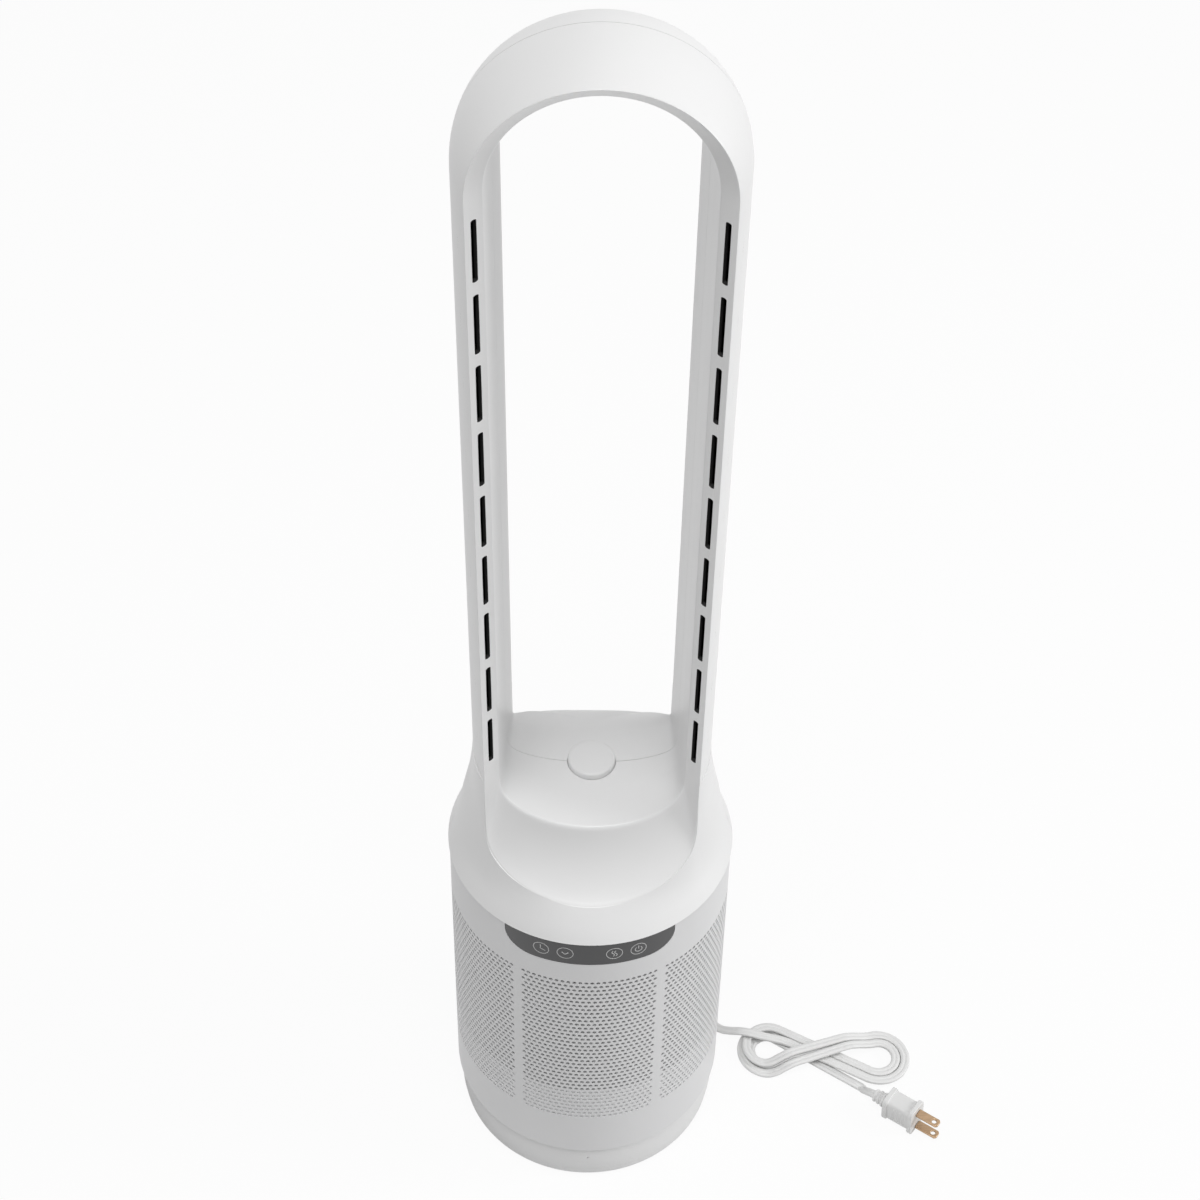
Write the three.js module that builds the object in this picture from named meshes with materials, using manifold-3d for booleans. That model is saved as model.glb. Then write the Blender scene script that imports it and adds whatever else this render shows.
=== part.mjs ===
// Bladeless tower fan: a round perforated base that oscillates on a low foot, a blower inside it,
// and a tall hollow air loop with a row of outlet slots down the front of each leg.
// Units are millimetres, +Z is up, the front of the fan faces -Y, and the origin lies on the floor
// under the centre of the foot.
import * as THREE from 'three';
import { mergeVertices } from 'three/addons/utils/BufferGeometryUtils.js';
import Module from 'manifold-3d';

const wasm = await Module();
wasm.setup();

// ---------------------------------------------------------------- driving dimensions
const gap = 0.3; // running or assembly gap between neighbouring pieces
const wall = 2.4; // moulded wall of the loop shells

// foot and turning parts
const padHeight = 2;
const padRadius = 8;
const footTopRadius = 85.4; // the round body follows this radius: foot, turntable, sleeve and chassis
const footRadius = footTopRadius - 2;
const padCircle = footRadius - 17.4;
const footStepZ = 9.4;
const baseTopZ = 34.8;
const panFloor = 3;
const panWall = 2.5;
const bossCircle = footRadius - 10.4;
const deckTopZ = 30;
const deckThick = 3;
const spindleRadius = 11.7;
const turntableZ = 36;
const turntableThick = 3;
const turntableRadius = footTopRadius - 1;

// perforated sleeve and chassis
const sleeveBottomRadius = footTopRadius + 1.4;
const sleeveTopRadius = footTopRadius - 0.2;
const sleeveWall = 1.8;
const sleeveBottomZ = 35.6;
const rimZ = 252.6;
const chassisRadius = sleeveTopRadius - 4;
const postWidth = 8;
const neckPlateZ = 246.3;
const neckPlateThick = 3;
const ductRadius = 51.5;

// air loop: half widths across X, depths along Y, heights along Z
const rimRadius = sleeveTopRadius + 0.7;
const bulgeHalf = 68.2; // widest half width of the loop
const bulgeY = -6; // depth of that widest place
const bulgeFrontReach = 79.7; // the front of the section is part of this ellipse
const loopBackY = 33;
const tailHalf = 50; // outer half width at the trailing edge
const crestHalf = 60.4;
const crestY = -43;
const lipDrop = 8.2; // the slanted lip runs this far in and this far back
const openingBackHalf = 47.2;
const archZ = 726.3; // height of the arch's centre
const archRise = 0.93; // the arch is this share of a half circle high
const seamY = 2;

// floor of the opening and the broad lower lip
const floorZ = 313.3;
const floorEllipse = 25; // rise of the floor's sides at the throat
const seamEllipse = 20;
const rearEllipse = 5; // the floor is nearly flat at the back edge
const rearDrop = 2.7;
const throatZ = 309.5;
const throatSweep = 11;
const lowerCrestZ = 269;
const lowerCrestRise = 29;
const lowerCrestSweep = 27.5; // how far the crest swings forward below

// outlet slots
const slotCount = 9;
const slotTopZ = 716;
const slotPitch = 40.34;
const slotLength = 35.1;
const slotWidth = 3.6;

// cap on the floor of the opening
const capRadius = 14;
const capTopZ = 317.2;

// control panel
const panelBottomZ = 233.5;
const panelHalf = 49.3;

// blower
const impellerRadius = ductRadius - 1.1;
const motorRadius = 22;
const vaneThick = 1.6;
const vanePitch = 40;
const shaftRadius = 2.5;

// oscillation drive
const gearModule = 1.5;
const sectorTeeth = 44;
const pinionTeeth = 11;
const pressureAngle = 25 * Math.PI / 180;
const toothThin = 0.16; // taken off each flank for backlash
const swingDegrees = 40;

// cord: a flat twin cord, its hank of loops, and the plug lying beside them
const cordWidth = 6;
const cordHeight = 3;
const cordRest = 0.1; // height of the cord's underside above the floor
const strandPitch = 6.5; // from one strand to the next beside it
const layerStep = 3.8; // from one strand to the next above it
const hankLeft = [125.3, 14.3]; // middles of the two loops of the figure eight
const hankRight = [201, 7.4];
const innerRight = 13.5; // radius of the second turn round the right middle
const innerLeft = 16.5;
const glandZ = 11.5;
const glandLength = 13; // how far the boot stands out of the foot
const plugStart = [195.4, -26.2, 9.4];
const plugHeading = -37;
const plugPitch = 4;
const bladeSpacing = 12.7;

// ---------------------------------------------------------------- solids and booleans
function solid(geometry) {
  const bare = geometry.clone();
  bare.deleteAttribute('normal');
  bare.deleteAttribute('uv');
  const merged = mergeVertices(bare, 1e-4);
  const mesh = new wasm.Mesh({
    numProp: 3,
    vertProperties: new Float32Array(merged.attributes.position.array),
    triVerts: new Uint32Array(merged.index.array),
  });
  return new wasm.Manifold(mesh);
}

function geometryOf(manifold) {
  const mesh = manifold.getMesh();
  const geometry = new THREE.BufferGeometry();
  geometry.setAttribute('position', new THREE.BufferAttribute(new Float32Array(mesh.vertProperties), 3));
  geometry.setIndex(new THREE.BufferAttribute(new Uint32Array(mesh.triVerts), 1));
  geometry.computeVertexNormals();
  return geometry;
}

function join(...pieces) {
  return pieces.reduce((sum, piece) => sum.add(piece));
}

function cut(body, ...tools) {
  return tools.reduce((rest, tool) => rest.subtract(tool), body);
}

function lathe(profile, segments = 36) {
  const points = profile.map(([r, z]) => new THREE.Vector2(r, z));
  const geometry = new THREE.LatheGeometry(points, segments);
  geometry.rotateX(Math.PI / 2);
  return solid(geometry);
}

function disc(radius, z0, z1, x = 0, y = 0, segments = 24) {
  return lathe([[0, z0], [radius, z0], [radius, z1], [0, z1]], segments).translate([x, y, 0]);
}

function ring(outer, inner, z0, z1, segments = 32) {
  return lathe([[inner, z0], [outer, z0], [outer, z1], [inner, z1], [inner, z0]], segments);
}

function box(width, depth, height, x, y, z) {
  return solid(new THREE.BoxGeometry(width, depth, height)).translate([x, y, z]);
}

function prismAlongY(shape, y0, y1, curveSegments = 6) {
  const geometry = new THREE.ExtrudeGeometry(shape, { depth: y1 - y0, bevelEnabled: false, curveSegments });
  geometry.rotateX(Math.PI / 2);
  geometry.translate(0, y1, 0);
  return solid(geometry);
}

function polar(radius, degrees) {
  const angle = degrees * Math.PI / 180;
  return [radius * Math.cos(angle), radius * Math.sin(angle)];
}

// A closed solid through rings of points; each end is closed by a fan to its own middle point.
function loft(rings, startMiddle, endMiddle) {
  const count = rings[0].length;
  const positions = rings.flat(2);
  const index = [];
  for (let r = 0; r + 1 < rings.length; r++) {
    for (let i = 0; i < count; i++) {
      const j = (i + 1) % count;
      const [a, b, c, d] = [r * count + i, r * count + j, (r + 1) * count + j, (r + 1) * count + i];
      index.push(a, b, c, a, c, d);
    }
  }
  const startIndex = positions.length / 3;
  positions.push(...startMiddle, ...endMiddle);
  const last = (rings.length - 1) * count;
  for (let i = 0; i < count; i++) {
    const j = (i + 1) % count;
    index.push(startIndex, j, i);
    index.push(startIndex + 1, last + i, last + j);
  }
  const geometry = new THREE.BufferGeometry();
  geometry.setAttribute('position', new THREE.Float32BufferAttribute(positions, 3));
  geometry.setIndex(index);
  const made = solid(geometry);
  if (made.volume() > 0) {
    return made;
  }
  for (let i = 0; i < index.length; i += 3) {
    [index[i], index[i + 1]] = [index[i + 1], index[i]];
  }
  geometry.setIndex(index);
  return solid(geometry);
}

// ---------------------------------------------------------------- scene graph helpers
const fan = new THREE.Group();
const materials = {
  white: new THREE.MeshStandardMaterial({ color: 0xf2f2f2, roughness: 0.45, metalness: 0 }),
  sleeve: new THREE.MeshStandardMaterial({ color: 0xe4e4e4, roughness: 0.5, metalness: 0 }),
  panel: new THREE.MeshStandardMaterial({ color: 0x3c3d3f, roughness: 0.15, metalness: 0 }),
  inner: new THREE.MeshStandardMaterial({ color: 0xb9bcc0, roughness: 0.6, metalness: 0 }),
  dark: new THREE.MeshStandardMaterial({ color: 0x2e3033, roughness: 0.6, metalness: 0 }),
  steel: new THREE.MeshStandardMaterial({ color: 0xa8abb0, roughness: 0.35, metalness: 1 }),
  brass: new THREE.MeshStandardMaterial({ color: 0xc9a26a, roughness: 0.3, metalness: 1 }),
  rubber: new THREE.MeshStandardMaterial({ color: 0x3a3a3a, roughness: 0.9, metalness: 0 }),
  board: new THREE.MeshStandardMaterial({ color: 0x2f6b46, roughness: 0.6, metalness: 0 }),
  foam: new THREE.MeshStandardMaterial({ color: 0x4a4c50, roughness: 1, metalness: 0 }),
  cord: new THREE.MeshStandardMaterial({ color: 0xf0f0f0, roughness: 0.55, metalness: 0 }),
};

function place(name, shape, material) {
  const geometry = shape.isBufferGeometry ? shape : geometryOf(shape);
  const mesh = new THREE.Mesh(geometry, material);
  mesh.name = name;
  fan.add(mesh);
}

// ---------------------------------------------------------------- foot
const panFloorZ = padHeight + panFloor;
const deckBottomZ = deckTopZ - deckThick;
const glandRadius = 4.8;
const baseScrewAngles = [30, 150, 270];

function basePan() {
  let pan = lathe([
    [0, padHeight], [footRadius - 1.2, padHeight], [footRadius, padHeight + 1.2],
    [footRadius + 0.2, footStepZ], [footRadius + 0.9, footStepZ + 0.7],
    [footTopRadius, baseTopZ - 1], [footTopRadius - 0.6, baseTopZ],
    [footTopRadius - panWall, baseTopZ], [footRadius - panWall, panFloorZ + 1.5],
    [footRadius - panWall - 1.5, panFloorZ], [0, panFloorZ],
  ]);
  for (const angle of baseScrewAngles) {
    const [x, y] = polar(bossCircle, angle);
    pan = join(pan, disc(5.5, panFloorZ - 1, deckBottomZ - gap, x, y, 8));
    pan = cut(pan, disc(4.6, 0, panFloorZ - 0.4, x, y, 8), disc(2.3, 0, deckTopZ, x, y, 6));
  }
  const glandHole = disc(glandRadius + gap, footRadius - 13, footRadius + 17, 0, 0, 12).rotate([-90, 0, 0]).translate([0, 0, glandZ]);
  return cut(pan, glandHole);
}

function baseScrew(angle) {
  const [x, y] = polar(bossCircle, angle);
  return join(disc(4, padHeight + 0.2, panFloorZ - 0.7, x, y, 8), disc(1.6, panFloorZ - 1, deckTopZ + 1, x, y, 6));
}

function baseDeck() {
  let deck = ring(footTopRadius - panWall - 1.2, 7, deckBottomZ, deckTopZ);
  for (const angle of baseScrewAngles) {
    const [x, y] = polar(bossCircle, angle);
    deck = cut(deck, disc(2.3, 0, 40, x, y, 6));
  }
  return deck;
}

function spindle() {
  const base = deckTopZ + gap;
  const topZ = turntableZ + 11.2;
  const grooveZ = turntableZ + 7.4;
  return lathe([
    [7, base], [spindleRadius + 8.3, base], [spindleRadius + 8.3, base + 3], [spindleRadius, base + 3], [spindleRadius, grooveZ],
    [spindleRadius - 1.5, grooveZ], [spindleRadius - 1.5, grooveZ + 2], [spindleRadius, grooveZ + 2],
    [spindleRadius, topZ], [7, topZ], [7, base],
  ], 24);
}

function foot() {
  place('base_pan', basePan(), materials.white);
  [45, 135, 225, 315].forEach((angle, i) => {
    const [x, y] = polar(padCircle, angle);
    place(`foot_pad_${i + 1}`, disc(padRadius, 0, padHeight, x, y), materials.rubber);
  });
  place('ballast_plate', ring(58, 18, panFloorZ + gap, panFloorZ + 6), materials.steel);
  place('base_deck', baseDeck(), materials.inner);
  baseScrewAngles.forEach((angle, i) => place(`base_screw_${i + 1}`, baseScrew(angle), materials.steel));
  place('spindle', spindle(), materials.inner);
  place('thrust_ring', ring(66, 58, deckTopZ + gap, turntableZ - gap), materials.inner);
  const ringZ = turntableZ + 7.4 + gap;
  place('retaining_ring', ring(spindleRadius + 5.3, spindleRadius - 1.5 + gap, ringZ, ringZ + 1.4, 24), materials.steel);
}

// ---------------------------------------------------------------- oscillation drive
const pitchRadius = teeth => gearModule * teeth / 2;
const driveCentre = pitchRadius(sectorTeeth) + pitchRadius(pinionTeeth);
const driveAngle = 90;
const gearZ = [deckTopZ + gap, deckTopZ + 5];

// Outline of one involute tooth centred on +X, from root to root.
function toothOutline(teeth) {
  const pitch = pitchRadius(teeth);
  const root = pitch - 1.25 * gearModule;
  const tip = pitch + 0.8 * gearModule;
  const base = pitch * Math.cos(pressureAngle);
  const involute = angle => Math.tan(angle) - angle;
  const halfAtPitch = Math.PI / (2 * teeth) - toothThin / pitch;
  const flank = [];
  const steps = 3;
  for (let i = 0; i <= steps; i++) {
    const r = Math.max(base, root) + (tip - Math.max(base, root)) * i / steps;
    const angle = halfAtPitch + involute(pressureAngle) - involute(Math.acos(Math.min(1, base / r)));
    flank.push([r, angle]);
  }
  const foot = root < base ? [[root, flank[0][1]]] : [];
  const right = [...foot, ...flank];
  const left = [...right].reverse().map(([r, angle]) => [r, angle]);
  return [...right.map(([r, a]) => [r, -a]), ...left];
}

function gear(teeth, keep, phase, z0, z1) {
  const shape = new THREE.Shape();
  const root = pitchRadius(teeth) - 1.25 * gearModule;
  for (let k = 0; k < teeth; k++) {
    const centre = phase + 2 * Math.PI * k / teeth;
    if (keep(k)) {
      for (const [r, a] of toothOutline(teeth)) {
        const point = [r * Math.cos(centre + a), r * Math.sin(centre + a)];
        if (shape.curves.length === 0 && !shape.started) {
          shape.moveTo(...point);
          shape.started = true;
        } else {
          shape.lineTo(...point);
        }
      }
    } else {
      const point = [root * Math.cos(centre), root * Math.sin(centre)];
      if (shape.started) {
        shape.lineTo(...point);
      } else {
        shape.moveTo(...point);
        shape.started = true;
      }
    }
  }
  const geometry = new THREE.ExtrudeGeometry(shape, { depth: z1 - z0, bevelEnabled: false });
  geometry.translate(0, 0, z0);
  return solid(geometry);
}

function sectorGear() {
  const reach = Math.ceil((swingDegrees + 12) / (360 / sectorTeeth));
  const keep = k => Math.min(k, sectorTeeth - k) <= reach;
  const teeth = gear(sectorTeeth, keep, driveAngle * Math.PI / 180, ...gearZ);
  return cut(teeth, disc(spindleRadius + 10.3, 0, 60));
}

function pinion() {
  const facing = driveAngle * Math.PI / 180 + Math.PI;
  const teeth = gear(pinionTeeth, () => true, facing + Math.PI / pinionTeeth, gearZ[0] + 0.2, gearZ[1] - 0.3);
  const shaft = disc(shaftRadius, gearZ[0] + 0.2, turntableZ + 14, 0, 0, 16);
  const [x, y] = polar(driveCentre, driveAngle);
  return join(teeth, shaft).translate([x, y, 0]);
}

function oscillationMotor() {
  const z0 = turntableZ + turntableThick + gap;
  const [x, y] = polar(driveCentre, driveAngle);
  let motor = join(disc(21, z0, z0 + 14, x, y, 30), box(56, 8, 1.6, x, y, z0 + 0.8));
  motor = cut(motor, disc(shaftRadius + gap, z0 - 1, z0 + 12, x, y, 16));
  return cut(motor, disc(2, z0 - 1, z0 + 3, x - 25, y, 10), disc(2, z0 - 1, z0 + 3, x + 25, y, 10));
}

// ---------------------------------------------------------------- turning tower: chassis and sleeve
const turntableTopZ = turntableZ + turntableThick;
const boardZ = turntableTopZ + 9;
const boards = [
  { name: 'main_board', width: 70, depth: 34, x: 0, y: -46 },
  { name: 'power_board', width: 28, depth: 44, x: -50, y: 6 },
];

function turntable() {
  const [x, y] = polar(driveCentre, driveAngle);
  const bore = spindleRadius + gap;
  let plate = lathe([
    [bore, turntableZ], [turntableRadius, turntableZ], [turntableRadius, turntableTopZ],
    [spindleRadius + 5.3, turntableTopZ], [spindleRadius + 5.3, turntableZ + 7.1], [bore, turntableZ + 7.1], [bore, turntableZ],
  ]);
  plate = cut(plate, disc(4, 0, 60, x, y, 16));
  for (const board of boards) {
    for (const sx of [-1, 1]) {
      for (const sy of [-1, 1]) {
        const px = board.x + sx * (board.width / 2 - 4);
        const py = board.y + sy * (board.depth / 2 - 4);
        plate = join(plate, disc(2.6, turntableTopZ - 1, boardZ - gap, px, py, 6));
      }
    }
  }
  return plate;
}

function chassis() {
  const bottom = turntableTopZ + gap;
  const ringTop = bottom + 5.7;
  const top = neckPlateZ - gap;
  let frame = join(ring(chassisRadius - 2.2, chassisRadius - 10.2, bottom, ringTop), ring(chassisRadius, ductRadius + 10.5, top - 6, top));
  for (let k = 0; k < 6; k++) {
    const post = box(6, postWidth, top - bottom - 2, chassisRadius - 5.6, 0, (top + bottom) / 2);
    frame = join(frame, post.rotate([0, 0, 30 + 60 * k]));
  }
  for (const angle of shellScrewAngles) {
    const [x, y] = polar(shellScrewCircle, angle);
    frame = cut(frame, disc(2, 200, 260, x, y, 12));
  }
  return frame;
}

function sleeveRadiusAt(z) {
  const share = (z - sleeveBottomZ) / (rimZ - sleeveBottomZ);
  return sleeveBottomRadius + (sleeveTopRadius - sleeveBottomRadius) * share;
}

function panelOutline(margin) {
  const half = panelHalf + margin;
  const low = panelBottomZ - margin;
  const shape = new THREE.Shape();
  shape.moveTo(-half, rimZ + 5);
  shape.lineTo(-half, rimZ - 5);
  shape.bezierCurveTo(-half, low + 7, -half + 5, low, -half + 17, low);
  shape.lineTo(half - 17, low);
  shape.bezierCurveTo(half - 5, low, half, low + 7, half, rimZ - 5);
  shape.lineTo(half, rimZ + 5);
  return shape;
}

function sleeveShell(outerOffset, innerOffset, z0, z1, segments = 48) {
  return lathe([
    [sleeveRadiusAt(z0) + innerOffset, z0], [sleeveRadiusAt(z0) + outerOffset, z0],
    [sleeveRadiusAt(z1) + outerOffset, z1], [sleeveRadiusAt(z1) + innerOffset, z1],
    [sleeveRadiusAt(z0) + innerOffset, z0],
  ], segments);
}

function grilleSleeve() {
  const shell = sleeveShell(0, -sleeveWall, sleeveBottomZ, rimZ - gap);
  const flangeZ = turntableTopZ + gap;
  const flange = ring(sleeveRadiusAt(flangeZ) - sleeveWall + 0.4, chassisRadius - 2.2 + gap, flangeZ, flangeZ + 2, 48);
  return cut(join(shell, flange), prismAlongY(panelOutline(gap), -sleeveBottomRadius - 10, -40));
}

function controlPanel() {
  const shell = sleeveShell(0.1, -sleeveWall, panelBottomZ - 2, rimZ - gap);
  return shell.intersect(prismAlongY(panelOutline(0), -sleeveBottomRadius - 10, -40));
}

function touchBoard() {
  const shell = sleeveShell(-sleeveWall - gap, -sleeveWall - gap - 1.2, panelBottomZ + 3, rimZ - 4);
  return shell.intersect(box(64, 60, 40, 0, -80, 245));
}

// ---------------------------------------------------------------- blower
const cupRadius = motorRadius + 5.5;
const motorZ = [190, 222];

function blowerHousing() {
  const outer = ductRadius + 2.4;
  const flange = ductRadius + 9.5;
  const bell = chassisRadius - 16.7; // the bell mouth stays clear of the chassis posts
  const flare = bell - ductRadius;
  const top = neckPlateZ - gap;
  return lathe([
    [ductRadius, 122], [ductRadius + 0.27 * flare, 114], [bell, 110], [bell, 112],
    [ductRadius + 0.42 * flare, 115.5], [outer, 123], [outer, top - 2.5], [flange, top - 2.5], [flange, top],
    [ductRadius, top], [ductRadius, 122],
  ], 32);
}

function blade(innerRadius, outerRadius, z0, z1, twist, thick) {
  const rings = [];
  const steps = 3;
  for (let i = 0; i <= steps; i++) {
    const share = i / steps;
    const z = z0 + (z1 - z0) * share;
    const angle = twist * share;
    const inner = innerRadius(share);
    const outer = outerRadius(share);
    const corner = (r, side) => {
      const [x, y] = [r * Math.cos(angle), r * Math.sin(angle)];
      const nudge = side * thick / 2;
      return [x - nudge * Math.sin(angle), y + nudge * Math.cos(angle), z];
    };
    rings.push([corner(inner, -1), corner(outer, -1), corner(outer, 1), corner(inner, 1)]);
  }
  const middle = k => [0, 1, 2].map(axis => rings[k].reduce((sum, p) => sum + p[axis], 0) / 4);
  return loft(rings, middle(0), middle(steps));
}

function impeller() {
  let wheel = lathe([
    [shaftRadius + 0.02, 131], [9, 131], [14, 138], [22, 150], [36, 166], [38, 169], [shaftRadius + 0.02, 169],
    [shaftRadius + 0.02, 131],
  ], 20);
  const [low, high] = [139, 167];
  const plate = box(impellerRadius, vaneThick, 60, impellerRadius / 2, 0, 0).rotate([-vanePitch, 0, 0]);
  const vane = plate.translate([0, 0, (low + high) / 2]).intersect(disc(impellerRadius, low, high, 0, 0, 48));
  for (let k = 0; k < 7; k++) {
    wheel = join(wheel, vane.rotate([0, 0, 360 * k / 7]));
  }
  wheel = cut(wheel, disc(shaftRadius + 0.02, 120, 180, 0, 0, 20));
  return wheel;
}

function impellerShaft() {
  return disc(shaftRadius - 0.03, 126, motorZ[0] + 14, 0, 0, 20);
}

function motor() {
  const can = disc(motorRadius, motorZ[0], motorZ[1], 0, 0, 36);
  return cut(can, disc(shaftRadius + gap - 0.03, motorZ[0] - 1, motorZ[0] + 16, 0, 0, 20));
}

function diffuser() {
  let part = lathe([
    [cupRadius - 2.3, 184], [cupRadius, 184], [cupRadius, 230], [12, 238], [0, 240], [0, 237.6],
    [11, 235.8], [cupRadius - 2.3, 228.6],
    [cupRadius - 2.3, 184],
  ], 24);
  for (let k = 0; k < 7; k++) {
    const vane = blade(() => cupRadius - 1, () => ductRadius - 2 * gap, 186, 226, -0.45, 1.8);
    part = join(part, vane.rotate([0, 0, 360 * k / 7 + 12]));
  }
  return part;
}

// ---------------------------------------------------------------- air loop shells
const shellScrewAngles = [48, 132, 228, 312];
const shellScrewCircle = ductRadius + 14.5;

// Half width of the loop's outside at depth y, drawn in by an inset.
function loopHalf(y, inset) {
  const widest = bulgeHalf - inset;
  if (y < bulgeY) {
    return widest * Math.sqrt(1 - ((y - bulgeY) / (bulgeFrontReach - inset)) ** 2);
  }
  const share = Math.min(1, (y - bulgeY) / (loopBackY - inset - bulgeY));
  return tailHalf + (widest - tailHalf) * Math.sqrt(1 - share * share);
}

// A tall outline: two legs, a flattened arch above and a half ellipse below that can swing forward.
function tallOutline(half, y, low, lowRise, sweep, steps) {
  const points = [];
  for (let i = 0; i <= steps; i++) {
    const angle = Math.PI * i / steps;
    points.push([half * Math.cos(angle), y, archZ + archRise * half * Math.sin(angle)]);
  }
  for (let i = 0; i <= steps; i++) {
    const angle = Math.PI * i / steps;
    const down = Math.sin(angle);
    points.push([-half * Math.cos(angle), y - sweep * down ** 1.6, low + lowRise * (1 - down)]);
  }
  return points;
}

// The loop's outside as one full paddle; the opening is cut out of it later.
function loopPaddle(inset) {
  const steps = inset > 0 ? 10 : 18;
  const outside = [-62, -51, -40, -24, bulgeY, 8, 18, 25, 29.5, 32, 33];
  const inside = [-62, -46, -28, bulgeY, 14, 25, 33];
  const depths = (inset > 0 ? inside : outside).map(y => Math.min(y, loopBackY - inset));
  const stations = depths.filter((y, i) => i === 0 || y - depths[i - 1] > 0.2);
  const rings = stations.map(y => {
    const half = loopHalf(y, inset);
    const points = [];
    for (let i = 0; i <= steps; i++) {
      const angle = Math.PI * i / steps;
      points.push([half * Math.cos(angle), y, archZ + archRise * half * Math.sin(angle)]);
    }
    points.push([-half, y, 300], [half, y, 300]);
    return points;
  });
  const first = stations[0];
  const last = stations[stations.length - 1];
  return loft(rings, [0, first, 500], [0, last, 500]);
}

// Radius of the shoulder towards five directions, at heights that rise from the rim.
const shoulderLevels = [
  // z, front, front corner, side, rear corner, rear
  [rimZ, rimRadius, rimRadius, rimRadius, rimRadius, rimRadius],
  [258, 81.8, 83.4, 84.7, 84.4, 84.0],
  [265, 75.0, 80.0, 82.9, 81.8, 80.4],
  [273, 67.0, 77.5, 81.2, 78.0, 75.5],
  [283, 61.5, 75.8, 79.2, 72.9, 68.4],
  [294, 58.5, 74.9, 76.9, 67.8, 60.5],
  [304, 56.5, 74.5, 74.4, 63.9, 51.0],
  [308, 55.8, 74.4, 73.4, 62.8, 45.5],
  [311.5, 55.0, 74.3, 72.3, 61.7, 36.5],
  [320, 52.0, 74.2, 70.3, 60.5, 30.0],
  [330, 50.0, 74.1, 68.9, 59.9, 30.0],
  [345, 50.0, 74.0, 68.3, 59.6, 30.0],
];
const shoulderAngles = [-90, -36, -3, 33.4, 90];

function shoulderRadius(level, degrees) {
  const folded = degrees > 90 ? 180 - degrees : degrees < -90 ? -180 - degrees : degrees;
  let k = 0;
  while (k < 3 && folded > shoulderAngles[k + 1]) {
    k += 1;
  }
  const share = (folded - shoulderAngles[k]) / (shoulderAngles[k + 1] - shoulderAngles[k]);
  const eased = share * share * (3 - 2 * share);
  return level[k + 1] + (level[k + 2] - level[k + 1]) * eased;
}

function shoulder(inset) {
  const levels = shoulderLevels.map(level => [...level]);
  if (inset > 0) {
    levels.unshift([rimZ - 6, ...levels[0].slice(1)]);
  }
  const sides = inset > 0 ? 20 : 40;
  const rings = levels.map(level => {
    const points = [];
    for (let i = 0; i < sides; i++) {
      const degrees = -180 + 360 * i / sides;
      const radius = shoulderRadius(level, degrees) - inset * 1.15;
      points.push([...polar(radius, degrees), level[0] - (level[0] > rimZ ? inset * 0.6 : 0)]);
    }
    return points;
  });
  return loft(rings, [0, 0, rings[0][0][2]], [0, 0, rings[rings.length - 1][0][2]]);
}

// Everything that is air inside the loop: the opening, its slanted lip and the scoop below it.
function openingAir(grow) {
  const rearHalf = openingBackHalf + grow;
  const seamHalf = openingBackHalf + (crestHalf - lipDrop - openingBackHalf) * 0.5 + grow;
  const throatHalf = crestHalf - lipDrop + grow;
  const lipY = crestY + lipDrop;
  const steps = grow > 0 ? 10 : 18;
  const side = floorEllipse + grow;
  const rings = [
    tallOutline(rearHalf, 70, floorZ - rearDrop - grow, rearEllipse + grow, 0, steps),
    tallOutline(rearHalf, loopBackY, floorZ - rearDrop - grow, rearEllipse + grow, 0, steps),
    tallOutline(seamHalf, seamY, floorZ - grow, seamEllipse + grow, 0, steps),
    tallOutline(seamHalf + 1.1, -20, floorZ - 0.6 - grow, side - 2, 0, steps),
    tallOutline(throatHalf, lipY + 0.41 * grow, throatZ - grow, side, throatSweep - 0.15 * grow, steps),
    tallOutline(crestHalf, crestY + 1.41 * grow, lowerCrestZ, lowerCrestRise, lowerCrestSweep - 0.24 * grow, steps),
    tallOutline(crestHalf + 20, crestY - 20 + 1.41 * grow, lowerCrestZ - 6, lowerCrestRise + 8,
      lowerCrestSweep + 12, steps),
  ];
  return loft(rings, [0, 70, 500], [0, -220, 500]);
}

function loopBody(inset) {
  return cut(join(loopPaddle(inset), shoulder(inset)), openingAir(inset));
}

function slotCutters() {
  const shape = new THREE.Shape();
  const half = slotWidth / 2;
  shape.absarc(0, slotLength / 2 - half, half, 0, Math.PI, false);
  shape.absarc(0, -slotLength / 2 + half, half, Math.PI, 2 * Math.PI, false);
  const geometry = new THREE.ExtrudeGeometry(shape, { depth: 14, bevelEnabled: false, curveSegments: 2 });
  geometry.translate(0, 0, -5);
  geometry.rotateX(Math.PI / 2);
  const blank = solid(geometry);
  const cutters = [];
  for (const side of [-1, 1]) {
    for (let k = 0; k < slotCount; k++) {
      const z = slotTopZ - slotLength / 2 - k * slotPitch;
      const turned = blank.rotate([0, 0, side * -45]);
      cutters.push(turned.translate([side * (crestHalf - lipDrop / 2), crestY + lipDrop / 2, z]));
    }
  }
  return cutters;
}

function loopShells() {
  const outside = loopBody(0);
  const inside = loopBody(wall);
  let shell = cut(outside, inside, ...slotCutters());
  const bossSpace = loopBody(1);
  for (const angle of shellScrewAngles) {
    const [x, y] = polar(shellScrewCircle, angle);
    const boss = disc(5, rimZ - 3, 330, x, y, 8).intersect(bossSpace.add(disc(80, 240, rimZ + 2, 0, 0, 36)));
    shell = join(shell, boss);
    shell = cut(shell, disc(2, 240, 264, x, y, 8));
  }
  shell = cut(shell, disc(capRadius + gap, floorZ - 1.1, 330, 0, seamY, 36), disc(5 + gap, 300, 330, 0, seamY, 20));
  const half = gap / 2;
  const frontSpace = box(300, 200, 1200, 0, seamY - half - 100, 500);
  const rearSpace = box(300, 200, 1200, 0, seamY + half + 100, 500);
  return [shell.intersect(frontSpace), shell.intersect(rearSpace)];
}

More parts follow.
